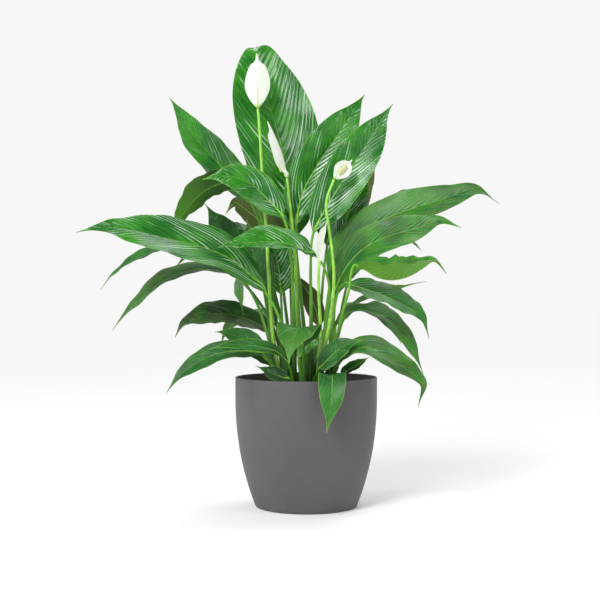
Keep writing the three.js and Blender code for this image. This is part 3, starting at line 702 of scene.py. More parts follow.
def skin(name, middle, across, up, sideways, height, material):
    """A closed skin: one ring of points for each middle, and a point at each end."""
    rows, around = sideways.shape
    points = (
        middle[:, None, :]
        + across[:, None, :] * sideways[:, :, None]
        + up[:, None, :] * height[:, :, None]
    ).reshape(-1, 3)
    first, last = rows * around, rows * around + 1
    points = np.vstack([points, middle[0], middle[-1]])
    quads = []
    for r in range(rows - 1):
        for k in range(around):
            a, b = r * around + k, r * around + (k + 1) % around
            quads.append((a, b, b + around, a + around))
    for k in range(around):
        b = (k + 1) % around
        top = (rows - 1) * around
        quads.append((b, k, first))
        quads.append((top + k, top + b, last))
    return add_piece(name, points, quads, material)


def ring_shares(segments):
    """For each point of a ring: its share of the half width, and 1 above or -1 below."""
    u = np.linspace(-1, 1, segments + 1)
    shares = np.concatenate([u, u[-2:0:-1]])
    sides = np.concatenate([np.ones(segments + 1), -np.ones(segments - 1)])
    sides[0] = sides[segments] = 0
    return shares, sides


def mark_edges(piece, around, segments, first_row):
    """Keeps the blade's two thin edges crisp where the surface is smooth."""
    mesh = piece.data
    ends = np.empty(len(mesh.edges) * 2, dtype=np.int32)
    mesh.edges.foreach_get("vertices", ends)
    ends = ends.reshape(-1, 2)
    slot = ends % around
    row = ends // around
    limit = len(mesh.vertices) - 2
    rim = (slot[:, 0] == slot[:, 1]) & ((slot[:, 0] == 0) | (slot[:, 0] == segments))
    rim &= (row.min(axis=1) >= first_row) & (ends.max(axis=1) < limit)
    layer = mesh.attributes.new("sharp_edge", "BOOLEAN", "EDGE")
    layer.data.foreach_set("value", rim)


def stations(start, end, spacing, least=8):
    return np.linspace(start, end, max(least, int(round((end - start) / spacing))) + 1)


# How much fuller than its plain solid a blade is, at shares of its length.
_SHARES = [-1.0, 0.30, 0.45, 0.60, 0.70, 0.80, 0.88, 0.93, 0.965, 1.0]
_FULLNESS = [1.0, 1.0, 1.04, 1.10, 1.13, 1.06, 0.88, 0.66, 0.48, 0.4]
OUTLINE = (
    np.linspace(-1, 1, 401),
    smooth_through(np.array(_SHARES), np.array(_FULLNESS)[:, None], np.linspace(-1, 1, 401))[:, 0],
)


# ------------------------------------------------------------------ leaves
FOOT_WING = 0.25  # how much wider than the stalk its winged foot is, as a share of it
TIP_REACH = 0.006  # how far a tip is drawn out
TIP_DROOP = 0.005  # how far a level tip hangs
TIP_SWAY = 0.003  # how far a tip may turn aside
FOLD_LOST = 0.45  # the share of its fold that a blade loses towards its tip
LEAST_HALF_WIDTH = 0.00035  # of a blade, at its tip
DULL_RIPPLE = 0.45  # the share of the ripple that a leaf without shine keeps


def build_leaf(name, number, look, material):
    """One leaf: a channelled stalk that spreads into a folded, rippled blade."""
    rings = read_rings(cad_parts[name])
    spine = Spine(rings, STALK_RINGS + 1)
    rng = np.random.default_rng(1000 + number)
    base, tip = spine.knots[STALK_RINGS], spine.knots[-1]
    length = tip - base
    stalk = stations(0.0, base, look.stalk_spacing)[:-1]
    blade = base + length * stations(0.0, 1.0, look.ring_spacing / length, 40)
    places = np.concatenate([stalk, blade])
    middle, across, up, half = spine.at(places)
    t = (places - base) / length
    widest = spine.half.max()
    segments = 2 * int(np.clip(widest / look.segment, 10, 32))
    shares, sides = ring_shares(segments)
    c = np.sign(shares) * np.abs(shares) ** 1.15
    rows = len(places)

    # the stalk, a round rod with a channel on its upper side and a winged foot
    down = np.clip(-t * length / max(base, 1e-6), 0, 1)
    wing = 1.0 + FOOT_WING * np.exp(-(((down - 0.72) / 0.22) ** 2)) * (1 - 0.55 * (down > 0.93))
    angle = shares * math.pi / 2
    rod_x = half[:, None] * np.sin(angle)[None, :] * np.where(down > 0, wing, 1.0)[:, None]
    rod_y = half[:, None] * (np.cos(angle) * sides)[None, :]
    channel = np.exp(-((shares / 0.33) ** 2)) * (sides > 0)
    rod_y -= 0.42 * half[:, None] * channel[None, :]
    rod_y += 0.5 * half[:, None] * (np.abs(shares) ** 3)[None, :] * (wing - 1.0)[:, None]

    # the blade
    width = half * np.interp(t, OUTLINE[0], OUTLINE[1])
    width = np.where(t > 0, np.maximum(width, LEAST_HALF_WIDTH), half)
    hook = np.clip((t - 0.84) / 0.16, 0, 1)[:, None] ** 2.4
    end = unit(middle[-1] - middle[-4])
    droop = np.array([0, 0, -TIP_DROOP]) * (1 - max(end[2], 0.0))
    sway = across * rng.uniform(-TIP_SWAY, TIP_SWAY)
    middle = middle + hook * (droop + TIP_REACH * end + sway)
    flatten = np.clip((t - 0.55) / 0.35, 0, 1)
    fold = spine.fold * (1 - FOLD_LOST * flatten * flatten * (3 - 2 * flatten))[:, None]
    x = width[:, None] * c[None, :] * np.cos(fold)
    bend = np.abs(c) + 0.28 * (np.abs(c) - np.abs(c) ** 3)
    rise = width[:, None] * bend[None, :] * np.sin(fold)
    reach = width[:, None] * np.abs(c)[None, :]
    slender = np.clip(length / (2 * widest), 2.0, 4.5)
    lean = 0.95 * (slender / 2.5) ** 1.6
    spacing = (0.0022 + 0.066 * widest * 2) * math.hypot(1.0, lean)
    run = (places - base)[:, None] - (lean * reach + 0.38 * slender * reach**2 / widest)
    phase = run / spacing + rng.uniform(0, 1)
    swell = -0.5 * np.cos(2 * np.pi * phase) * spacing / 0.018
    shine = LEAF_SHINE.get(name, USUAL_SHINE)
    swell *= DULL_RIPPLE + (1 - DULL_RIPPLE) * shine
    fade = np.clip(reach / 0.004, 0, 1) * np.clip((0.85 - np.abs(c)) / 0.55, 0, 1)[None, :]
    fade = fade * np.clip(width / 0.016, 0, 1)[:, None]
    ripple = look.ripple * swell * fade
    waves = rng.uniform(2.2, 3.4)
    left, right = rng.uniform(0, 2 * math.pi, 2)
    turn = np.where(c[None, :] < 0, left, right)
    wave = np.sin(2 * math.pi * waves * t[:, None] + turn)
    wave += 0.45 * np.sin(2 * math.pi * waves * 2.3 * t[:, None] + 2 * turn + number)
    edge_wave = look.edge_wave * min(1.0, widest / 0.03)
    envelope = np.clip(t / 0.15, 0, 1) * np.clip((1 - t) / 0.12, 0, 1)
    wave = edge_wave * wave * (np.abs(c) ** 2.6)[None, :] * envelope[:, None]
    rib = look.rib_width * np.clip(1.0 - 0.8 * t, 0.15, 1.0)
    groove = np.exp(-((reach / rib[:, None]) ** 2))
    thick = look.thickness * (1 - 0.45 * np.abs(c)[None, :] ** 2) * (1 - 0.3 * np.clip(t, 0, 1))[:, None]
    thick = thick * np.clip((1 - np.abs(c)) / 0.02, 0.0, 1.0)[None, :]
    body = rise + ripple + wave
    top_face = body + thick / 2 - 0.35 * rib[:, None] * groove
    low_face = body - thick / 2 - 0.80 * rib[:, None] * groove
    y = np.where(sides[None, :] > 0, top_face, np.where(sides[None, :] < 0, low_face, body))

    spread = np.clip(t * length / max(0.10 * length, 0.012), 0, 1)
    spread = (spread**2 * (3 - 2 * spread))[:, None]
    sideways = rod_x * (1 - spread) + x * spread
    height = rod_y * (1 - spread) + y * spread
    keep_level = places < 1e-9
    piece = skin(name + "_blade", middle, across, up, sideways, height, material)
    mesh = piece.data
    floor_z = frame_floor(rings)
    level_foot(mesh, rows, len(shares), keep_level, floor_z)

    def per_point(grid, foot, head):
        return np.concatenate([np.broadcast_to(grid, (rows, len(shares))).ravel(), [foot, head]])

    along = np.where(t > 0, t, -down)
    store(mesh, "vein", per_point(phase, 0, phase[-1, 0]))
    store(mesh, "across", per_point(c[None, :], 0, 0))
    store(mesh, "along", per_point(along[:, None], -1, 1))
    store(mesh, "underside", per_point((sides < 0).astype(float)[None, :], 0, 0))
    store(mesh, "rib_distance", per_point(reach / rib[:, None], 0, 0))
    store(mesh, "edge_distance", per_point(width[:, None] - reach, 0.01, 0))
    age_and_shade = LEAF_AGE_AND_SHADE.get(name, USUAL_AGE_AND_SHADE) + rng.uniform(-0.1, 0.1)
    store(mesh, "age_and_shade", np.full(len(mesh.vertices), age_and_shade))
    store(mesh, "brownness", np.full(len(mesh.vertices), LEAF_BROWNNESS.get(name, USUAL_BROWNNESS)))
    store(mesh, "tip_glow", np.full(len(mesh.vertices), LEAF_TIP_GLOW.get(name, 0.0)))
    store(mesh, "shine", np.full(len(mesh.vertices), shine))
    mark_edges(piece, len(shares), segments, len(stalk) + 6)
    return piece


def frame_floor(rings):
    """The height at which a stalk's foot is cut level."""
    return float(rings[0][:, 2].mean())


def level_foot(mesh, rows, around, keep_level, floor_z):
    """Keeps a stalk off the compost: its lowest ring lies level on it."""
    spots = np.empty(len(mesh.vertices) * 3)
    mesh.vertices.foreach_get("co", spots)
    spots = spots.reshape(-1, 3)
    foot = np.zeros(len(spots), dtype=bool)
    foot[: rows * around] = np.repeat(keep_level, around)
    foot[rows * around] = True
    spots[foot, 2] = floor_z
    low = np.arange(len(spots)) < 3 * around
    spots[low, 2] = np.maximum(spots[low, 2], floor_z)
    mesh.vertices.foreach_set("co", spots.ravel())
    mesh.update()


class PEACELILY_OT_leaves(bpy.types.Operator):
    """Builds every leaf, from the stalk's foot to the blade's drip tip"""

    bl_idname = "peace_lily.leaves"
    bl_label = "Leaves"

    def execute(self, context):
        look = context.scene.lily_leaves
        material = leaf_finish(look)
        for number, name in enumerate(LEAF_NODES):
            piece = build_leaf(name, number, look, material)
            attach(piece, "root")
            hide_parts(name)
        return {"FINISHED"}


# ------------------------------------------------------------------ flowers
def build_stem(name, material):
    """A round stem, a little ribbed, that thins towards the flower."""
    rings = read_rings(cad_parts[name])
    spine = Spine(rings, len(rings))
    places = stations(0.0, spine.knots[-1], 0.006)
    middle, across, up, half = spine.at(places)
    angles = np.linspace(0, 2 * math.pi, 20, endpoint=False)
    ribs = 1 + 0.05 * np.cos(5 * angles)[None, :]
    sideways = half[:, None] * np.cos(angles)[None, :] * ribs
    height = half[:, None] * np.sin(angles)[None, :] * ribs
    piece = skin(name + "_rod", middle, across, up, sideways, height, material)
    level_foot(piece.data, len(places), 20, places < 1e-9, frame_floor(rings))
    along = np.repeat(places / places[-1], 20)
    store(piece.data, "along", np.concatenate([along, [0, 1]]))
    return piece


class PEACELILY_OT_flower_stems(bpy.types.Operator):
    """Builds the flower stems"""

    bl_idname = "peace_lily.flower_stems"
    bl_label = "Flower stems"

    def execute(self, context):
        material = stem_finish(context.scene.lily_flowers)
        for name in STEM_NODES:
            piece = build_stem(name, material)
            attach(piece, "root")
            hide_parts(name)
        return {"FINISHED"}


def build_spathe(name, number, material):
    """A cupped white hood with parallel veins and a drawn-out tip."""
    rings = read_rings(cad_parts[name])
    spine = Spine(rings, 1)
    rng = np.random.default_rng(50 + number)
    places = stations(0.0, spine.knots[-1], 0.0012)
    length = places[-1]
    middle, across, up, half = spine.at(places)
    t = places / length
    widest = half.max()
    shares, sides = ring_shares(SEGMENTS)
    c = shares
    angle = shares * math.pi / 2
    rod_x = half[:, None] * np.sin(angle)[None, :]
    rod_y = half[:, None] * (np.cos(angle) * sides)[None, :]
    drip = np.clip((t - 0.80) / 0.20, 0, 1)
    wedge = np.clip(t / 0.45, 0, 1)
    wedge = 0.80 + 0.20 * wedge**2 * (3 - 2 * wedge)
    width = np.maximum(half * wedge * (1 - 0.62 * np.sin(np.pi * drip) * (t > 0.8)), 0.0004)
    x = width[:, None] * c[None, :] * math.cos(spine.fold)
    bend = 0.55 * np.abs(c) + 0.45 * np.abs(c) ** 2.2
    rise = width[:, None] * bend[None, :] * math.sin(spine.fold)
    reach = width[:, None] * np.abs(c)[None, :]
    phase = np.broadcast_to(np.abs(c)[None, :] * 7.0, reach.shape)
    wave = np.sin(2 * math.pi * 1.6 * t[:, None] + rng.uniform(0, 6) + 2.0 * np.sign(c)[None, :])
    wave = 0.0011 * wave * (np.abs(c) ** 3)[None, :] * np.clip(t / 0.2, 0, 1)[:, None]
    wave = wave * min(1.0, widest / 0.018)
    thick = 0.0006 * (1 - 0.4 * np.abs(c)[None, :] ** 2) * np.ones((len(t), 1))
    thick = thick * np.clip((1 - np.abs(c)) / 0.02, 0.0, 1.0)[None, :]
    ribs = 0.00012 * np.cos(2 * math.pi * phase) * np.clip(width / 0.008, 0, 1)[:, None]
    groove = np.exp(-((reach / 0.0011) ** 2)) * (1 - 0.7 * t)[:, None]
    body = rise + wave + ribs
    top_face = body + thick / 2 - 0.0003 * groove
    low_face = body - thick / 2 - 0.0011 * groove
    y = np.where(sides[None, :] > 0, top_face, np.where(sides[None, :] < 0, low_face, body))
    spread = np.clip(t / 0.14, 0, 1)
    spread = (spread**2 * (3 - 2 * spread))[:, None]
    sideways = rod_x * (1 - spread) + x * spread
    height = rod_y * (1 - spread) + y * spread
    piece = skin(name + "_petal", middle, across, up, sideways, height, material)
    mesh = piece.data
    rows = len(places)

    def per_point(grid, foot, head):
        return np.concatenate([np.broadcast_to(grid, (rows, len(shares))).ravel(), [foot, head]])

    store(mesh, "vein", per_point(phase, 0, 0))
    store(mesh, "along", per_point(t[:, None], 0, 1))
    store(mesh, "underside", per_point((sides < 0).astype(float)[None, :], 0, 0))
    store(mesh, "rib_distance", per_point(reach, 0, 0))
    mark_edges(piece, len(shares), SEGMENTS, 8)
    return piece


class PEACELILY_OT_spathes(bpy.types.Operator):
    """Builds the white hoods of the flowers"""

    bl_idname = "peace_lily.spathes"
    bl_label = "Spathes"

    def execute(self, context):
        material = spathe_finish(context.scene.lily_flowers)
        for number, name in enumerate(SPATHE_NODES):
            piece = build_spathe(name, number, material)
            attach(piece, "root")
            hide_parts(name)
        return {"FINISHED"}


def new_tree(name, inputs):
    """A Geometry Nodes tree that takes and gives geometry, with the named inputs."""
    tree = bpy.data.node_groups.new(name, "GeometryNodeTree")
    tree.interface.new_socket("Geometry", in_out="INPUT", socket_type="NodeSocketGeometry")
    tree.interface.new_socket("Geometry", in_out="OUTPUT", socket_type="NodeSocketGeometry")
    for label, kind in inputs:
        tree.interface.new_socket(label, in_out="INPUT", socket_type=kind)
    wiring = Wiring(tree)
    entry = wiring.add("NodeGroupInput")
    leave = wiring.add("NodeGroupOutput")
    return wiring, entry.outputs, leave.inputs


def grow(piece, tree, values):
    """Runs the tree on the piece and keeps the result as the piece's own plain mesh."""
    modifier = piece.modifiers.new(tree.name, "NODES")
    modifier.node_group = tree
    sockets = {i.name: i.identifier for i in tree.interface.items_tree if i.in_out == "INPUT"}
    for label, value in values.items():
        modifier[sockets[label]] = value
    depsgraph = bpy.context.evaluated_depsgraph_get()
    depsgraph.update()
    grown = bpy.data.meshes.new_from_object(piece.evaluated_get(depsgraph), depsgraph=depsgraph)
    piece.modifiers.remove(modifier)
    piece.data = grown
    if not len(grown.polygons):
        raise RuntimeError(f"{piece.name} came out empty")
    return piece


def floret_tree(material):
    """Small beads on a spiral round the spadix, joined to its core."""
    inputs = [
        ("Florets", "NodeSocketInt"),
        ("Floret size", "NodeSocketFloat"),
        ("Length", "NodeSocketFloat"),
        ("Radius", "NodeSocketFloat"),
        ("Foot", "NodeSocketVector"),
        ("Turn", "NodeSocketVector"),
    ]
    w, given, leave = new_tree("spadix_florets", inputs)
    index = w.add("GeometryNodeInputIndex").outputs[0]
    share = w.math("DIVIDE", w.math("ADD", index, 0.5), given["Florets"])
    angle = w.math("MULTIPLY", index, math.radians(137.508))
    from_middle = w.math("SUBTRACT", w.math("MULTIPLY", share, 2.0), 1.0)
    power = w.math("POWER", w.math("ABSOLUTE", from_middle), 5.0)
    bulge = w.math("SQRT", w.math("SUBTRACT", 1.0, power))
    radius = w.math("MULTIPLY", given["Radius"], bulge)
    x = w.math("MULTIPLY", radius, w.math("COSINE", angle))
    y = w.math("MULTIPLY", radius, w.math("SINE", angle))
    z = w.math("MULTIPLY", share, given["Length"])
    spots = w.add("GeometryNodePoints", {"Count": given["Florets"], "Position": w.vector(x, y, z)})
    bead = w.add("GeometryNodeMeshIcoSphere", {"Radius": given["Floret size"], "Subdivisions": 1})
    size = w.add("FunctionNodeRandomValue", data_type="FLOAT")
    for key, value in (("Min", 0.8), ("Max", 1.2), ("Seed", 7)):
        next(s for s in size.inputs if s.name == key and s.enabled).default_value = value
    size_out = next(s for s in size.outputs if s.enabled)
    beads = w.add(
        "GeometryNodeInstanceOnPoints",
        {"Points": spots.outputs[0], "Instance": bead.outputs[0], "Scale": size_out},
    )
    tone = w.add("FunctionNodeRandomValue", data_type="FLOAT")
    next(s for s in tone.inputs if s.name == "Seed" and s.enabled).default_value = 11
    tone_out = next(s for s in tone.outputs if s.enabled)
    named = w.add("GeometryNodeStoreNamedAttribute", data_type="FLOAT", domain="INSTANCE")
    w.feed(named.inputs["Geometry"], beads.outputs[0])
    w.feed(named.inputs["Name"], "bead")
    w.feed(named.inputs["Value"], tone_out)
    real = w.add("GeometryNodeRealizeInstances", {"Geometry": named.outputs[0]})
    turned = w.add(
        "GeometryNodeTransform",
        {"Geometry": real.outputs[0], "Translation": given["Foot"], "Rotation": given["Turn"]},
    )
    joined = w.add("GeometryNodeJoinGeometry")
    w.feed(joined.inputs[0], given["Geometry"])
    w.feed(joined.inputs[0], turned.outputs[0])
    smooth = w.add("GeometryNodeSetShadeSmooth", {"Geometry": joined.outputs[0]})
    painted = w.add("GeometryNodeSetMaterial", {"Geometry": smooth.outputs[0], "Material": material})
    w.feed(leave[0], painted.outputs[0])
    return w.tree


def build_spadix(name, look, tree, material):
    """A finger of florets on the axis of the plain spadix."""
    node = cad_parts[name]
    spots = np.array([v.co[:] for v in node.data.vertices])
    centre = spots.mean(axis=0)
    _, _, axes = np.linalg.svd(spots - centre, full_matrices=False)
    axis = axes[0]
    reach = (spots - centre) @ axis
    foot, head = centre + axis * reach.min(), centre + axis * reach.max()
    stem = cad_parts[name.replace("_spadix", "_stem")]
    top = np.array(max((v.co[:] for v in stem.data.vertices), key=lambda p: p[2]))
    if np.linalg.norm(foot - top) > np.linalg.norm(head - top):
        foot, head, axis = head, foot, -axis
    foot = foot + axis * 0.16 * np.linalg.norm(head - foot)
    length = float(np.linalg.norm(head - foot))
    middle = (foot + head) / 2
    radius = float(np.linalg.norm(np.cross(spots - middle, axis), axis=1).max())
    inner = radius - 1.2 * look.floret_size
    rows = 24
    t = np.linspace(0.0, 1.0, rows)
    swell = np.sqrt(np.clip(1 - np.abs(2 * t - 1) ** 5, 0.02, 1))
    angles = np.linspace(0, 2 * math.pi, 24, endpoint=False)
    side = unit(np.cross(axis, [0.3, 0.9, 0.1]))
    front = np.cross(axis, side)
    middles = foot + axis * (t * length)[:, None]
    sideways = (inner * swell)[:, None] * np.cos(angles)[None, :]
    height = (inner * swell)[:, None] * np.sin(angles)[None, :]
    sides = np.tile(side, (rows, 1))
    fronts = np.tile(front, (rows, 1))
    piece = skin(name + "_finger", middles, sides, fronts, sideways, height, material)
    store(piece.data, "bead", np.full(len(piece.data.vertices), 0.1))
    turn = Vector(axis).to_track_quat("Z", "Y").to_euler()
    margin = look.floret_size * 1.1
    values = {
        "Florets": int(look.florets * length / 0.034),
        "Floret size": look.floret_size,
        "Length": length - 2 * margin,
        "Radius": radius - margin,
        "Foot": tuple(foot + axis * margin),
        "Turn": tuple(turn),
    }
    return grow(piece, tree, values)


class PEACELILY_OT_spadices(bpy.types.Operator):
    """Builds the fingers of florets inside the open hoods"""

    bl_idname = "peace_lily.spadices"
    bl_label = "Spadices"

    def execute(self, context):
        look = context.scene.lily_flowers
        material = spadix_finish(look)
        tree = floret_tree(material)
        for name in SPADIX_NODES:
            piece = build_spadix(name, look, tree, material)
            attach(piece, "root")
            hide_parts(name)
        return {"FINISHED"}


# ------------------------------------------------------------------ pots
def read_profile(node):
    """The plain pot's (radius, height) points, bottom first, then its outer and its inner side."""
    solid = bmesh.new()
    solid.from_mesh(node.data)
    bmesh.ops.remove_doubles(solid, verts=solid.verts, dist=2e-6)
    solid.normal_update()
    everything, outer, inner = set(), set(), set()
    for v in solid.verts:
        radius = math.hypot(v.co.x, v.co.y)
        pair = (round(radius, 5), round(v.co.z, 5))
        everything.add(pair)
        if radius > 0.03:
            outwards = (v.normal.x * v.co.x + v.normal.y * v.co.y) / radius
            (outer if outwards > 0 else inner).add(pair)
    solid.free()
    return [sorted(pairs, key=lambda p: (p[1], p[0])) for pairs in (everything, outer, inner)]


def revolve(name, profile, facets, material):
    """A closed solid of revolution from a profile that starts and ends on the axis."""
    points, faces, rows = [], [], []
    angles = np.linspace(0, 2 * math.pi, facets, endpoint=False)
    for radius, height in profile:
        if radius < 1e-7:
            rows.append([len(points)])
            points.append((0.0, 0.0, height))
            continue
        rows.append(list(range(len(points), len(points) + facets)))
        for a in angles:
            points.append((radius * math.cos(a), radius * math.sin(a), height))
    for low, high in zip(rows, rows[1:]):
        for k in range(facets):
            n = (k + 1) % facets
            if len(low) == 1:
                faces.append((low[0], high[n], high[k]))
            elif len(high) == 1:
                faces.append((low[k], low[n], high[0]))
            else:
                faces.append((low[k], low[n], high[n], high[k]))
    return add_piece(name, points, faces, material)


def arc(centre, radius, start, end, steps):
    """Points on an arc in the (radius, height) plane, with its angles in degrees."""
    spots = []
    for i in range(steps + 1):
        a = math.radians(start + (end - start) * i / steps)
        spots.append((centre[0] + radius * math.cos(a), centre[1] + radius * math.sin(a)))
    return spots


def curve_between(points, low, high, steps):
    """Radii of a smooth side through the plain pot's points, from one height to another."""
    heights, first = np.unique([z for _, z in points], return_index=True)
    radii = np.array([r for r, _ in points])[first]
    at = np.linspace(low, high, steps + 1)
    smooth = smooth_through(heights, radii[:, None], at)[:, 0]
    return list(zip(smooth, at))


def build_cover_pot(look, material):
    pairs, outer, inner = read_profile(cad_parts["cover_pot"])
    top = max(z for _, z in pairs)
    rim = max(r for r, _ in pairs)
    inner_floor = min(z for r, z in pairs if r < 1e-4 and z > 0.001)
    outer = [p for p in outer if 0.0025 < p[1] < top - 0.001]
    inner = [p for p in inner if p[1] > inner_floor - 1e-6]
    mouth = inner[-1][0]
    foot = outer[0][0]
    lip, bottom_edge, corner = look.lip, 0.0034, 0.004
    profile = [(0.0, 0.0), (foot - 0.014, 0.0)]
    profile += arc((foot - bottom_edge, bottom_edge), bottom_edge, -90, -12, 8)
    profile += curve_between(outer, bottom_edge * 1.4, top - lip * 1.3, 60)
    profile += arc((rim - lip, top - lip), lip, 0, 90, 8)
    profile += arc((mouth + lip, top - lip), lip, 90, 180, 8)
    inside = curve_between(inner, inner_floor + corner * 1.2, top - lip * 1.3, 40)
    profile += inside[::-1]
    profile += arc((inside[0][0] - corner, inner_floor + corner), corner, -5, -90, 6)
    profile.append((0.0, inner_floor))
    return revolve("cover_pot_shell", profile, look.facets, material)


class PEACELILY_OT_cover_pot(bpy.types.Operator):
    """Builds the matt cover pot with its rounded rim and foot"""

    bl_idname = "peace_lily.cover_pot"
    bl_label = "Cover pot"

    def execute(self, context):
        look = context.scene.lily_pots
        piece = build_cover_pot(look, cover_pot_finish(look))
        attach(piece, "root")
        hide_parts("cover_pot")
        return {"FINISHED"}


def build_grower_pot(look, material):
    pairs, _, _ = read_profile(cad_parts["grower_pot"])
    floor_z = min(z for _, z in pairs)
    top = max(z for _, z in pairs)
    rim = max(r for r, _ in pairs)
    lip_z = min(z for r, z in pairs if abs(r - rim) < 1e-5)
    foot = max(r for r, z in pairs if z == floor_z)
    neck = min(r for r, z in pairs if z == lip_z)
    mouth = min(r for r, z in pairs if z == top)
    inner_floor = min(z for r, z in pairs if r < 1e-4 and z > floor_z + 1e-5)
    inner_foot = max(r for r, z in pairs if z == inner_floor)
    r = 0.0009
    profile = [(0.0, floor_z), (foot - 0.003, floor_z)]
    profile += arc((foot - 0.003, floor_z + 0.003), 0.003, -80, -10, 5)
    for i in range(1, 24):
        share = i / 24
        profile.append((foot + (neck - foot) * share, floor_z + (lip_z - floor_z) * share))
    profile += [(neck, lip_z - 0.0002), (neck + 0.0003, lip_z)]
    profile += arc((rim - r, lip_z + r), r, -90, 0, 4)
    profile += arc((rim - r, top - r), r, 0, 90, 4)
    profile += arc((mouth + r, top - r), r, 90, 180, 4)
    for i in range(1, 16):
        share = i / 16
        profile.append((mouth + (inner_foot - mouth) * share, top - (top - inner_floor) * share))
    profile += [(inner_foot - 0.0004, inner_floor), (0.0, inner_floor)]
    return revolve("grower_pot_shell", profile, look.facets // 2, material)


class PEACELILY_OT_grower_pot(bpy.types.Operator):
    """Builds the thin plastic grower's pot inside the cover pot"""

    bl_idname = "peace_lily.grower_pot"
    bl_label = "Grower pot"

    def execute(self, context):
        look = context.scene.lily_pots
        piece = build_grower_pot(look, grower_pot_finish(look))
        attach(piece, "root")
        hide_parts("grower_pot")
        return {"FINISHED"}


# ------------------------------------------------------------------ compost
SIDE_ROOM = 0.0015  # how much narrower the compost's foot is than its plain solid's
FLOOR_ROOM = 0.0008  # how much higher the compost starts than its plain solid


def lumps(x, y, seed):
    """A gentle uneven surface, the same each time."""
    rng = np.random.default_rng(seed)
    total = np.zeros_like(x)
    for size, height in ((0.045, 0.0012), (0.021, 0.0008), (0.009, 0.0005)):
        for _ in range(5):
            direction, shift = rng.uniform(0, 2 * math.pi, 2)
            run = (x * math.cos(direction) + y * math.sin(direction)) * 2 * math.pi / size
            total += height * np.sin(run + shift) / 2.2
    return total


def build_root_ball(look, material):
    """The body of compost, with an uneven top between the stalks."""
    pairs, _, _ = read_profile(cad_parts["root_ball"])
    bottom = min(z for _, z in pairs)
    crown_z = max(z for _, z in pairs)
    wide = max(r for r, _ in pairs)
    edge_z = max(z for r, z in pairs if abs(r - wide) < 1e-5)
    foot = max(r for r, z in pairs if z == bottom) - SIDE_ROOM
    bottom += FLOOR_ROOM
    crown = max(r for r, z in pairs if z == crown_z)
    facets = 96
    profile = [(0.0, bottom), (foot, bottom)]
    for i in range(1, 12):
        share = i / 12
        profile.append((foot + (wide - foot) * share, bottom + (edge_z - bottom) * share))
    profile.append((wide, edge_z))
    for i in range(1, 34):
        radius = wide * (1 - i / 34)
        rise = np.clip((wide - radius) / (wide - crown), 0, 1)
        profile.append((radius, edge_z + (crown_z - edge_z) * rise))
    profile.append((0.0, crown_z))
    piece = revolve("root_ball_compost", profile, facets, material)
    spots = np.array([v.co[:] for v in piece.data.vertices])
    radius = np.hypot(spots[:, 0], spots[:, 1])
    open_top = (spots[:, 2] > edge_z - 1e-6) & (radius < wide * 0.995)
    uneven = lumps(spots[:, 0], spots[:, 1], look.seed) - 0.0022
    spots[open_top, 2] += np.minimum(uneven, -0.0004)[open_top]
    piece.data.vertices.foreach_set("co", spots.ravel())
    piece.data.update()
    store(piece.data, "crumb_tone", np.full(len(spots), 0.1))
    return piece


def crumb_tree(material):
    """Crumbs and bark scattered over a surface, each a lumpy bead."""
    inputs = [
        ("Crumb size", "NodeSocketFloat"),
        ("Density", "NodeSocketFloat"),
        ("Seed", "NodeSocketInt"),
    ]
    w, given, leave = new_tree("compost_crumbs", inputs)
    spots = w.add("GeometryNodeDistributePointsOnFaces", {"Mesh": given["Geometry"], "Seed": given["Seed"]})
    w.feed(next(s for s in spots.inputs if s.name == "Density" and s.enabled), given["Density"])
    bead = w.add("GeometryNodeMeshIcoSphere", {"Radius": given["Crumb size"], "Subdivisions": 2})

    def random(kind, low, high, seed):
        node = w.add("FunctionNodeRandomValue", data_type=kind)
        for key, value in (("Min", low), ("Max", high), ("Seed", seed)):
            next(s for s in node.inputs if s.name == key and s.enabled).default_value = value
        return next(s for s in node.outputs if s.enabled)

    beads = w.add(
        "GeometryNodeInstanceOnPoints",
        {
            "Points": spots.outputs["Points"],
            "Instance": bead.outputs[0],
            "Rotation": random("FLOAT_VECTOR", (0, 0, 0), (6.28, 6.28, 6.28), 3),
            "Scale": random("FLOAT_VECTOR", (0.35, 0.4, 0.3), (1.5, 1.0, 0.7), 5),
        },
    )
    named = w.add("GeometryNodeStoreNamedAttribute", data_type="FLOAT", domain="INSTANCE")
    w.feed(named.inputs["Geometry"], beads.outputs[0])
    w.feed(named.inputs["Name"], "crumb_tone")
    w.feed(named.inputs["Value"], random("FLOAT", 0.0, 1.0, 9))
    real = w.add("GeometryNodeRealizeInstances", {"Geometry": named.outputs[0]})
    bumps = w.add("ShaderNodeTexNoise", {"Scale": 420.0, "Detail": 1.0})
    middle = {0: bumps.outputs["Color"], 1: (0.5, 0.5, 0.5)}
    shift = w.add("ShaderNodeVectorMath", middle, operation="SUBTRACT")
    scaled = w.add("ShaderNodeVectorMath", {0: shift.outputs[0], "Scale": 0.0022}, operation="SCALE")
    moved = w.add("GeometryNodeSetPosition", {"Geometry": real.outputs[0], "Offset": scaled.outputs[0]})
    painted = w.add("GeometryNodeSetMaterial", {"Geometry": moved.outputs[0], "Material": material})
    w.feed(leave[0], painted.outputs[0])
    return w.tree


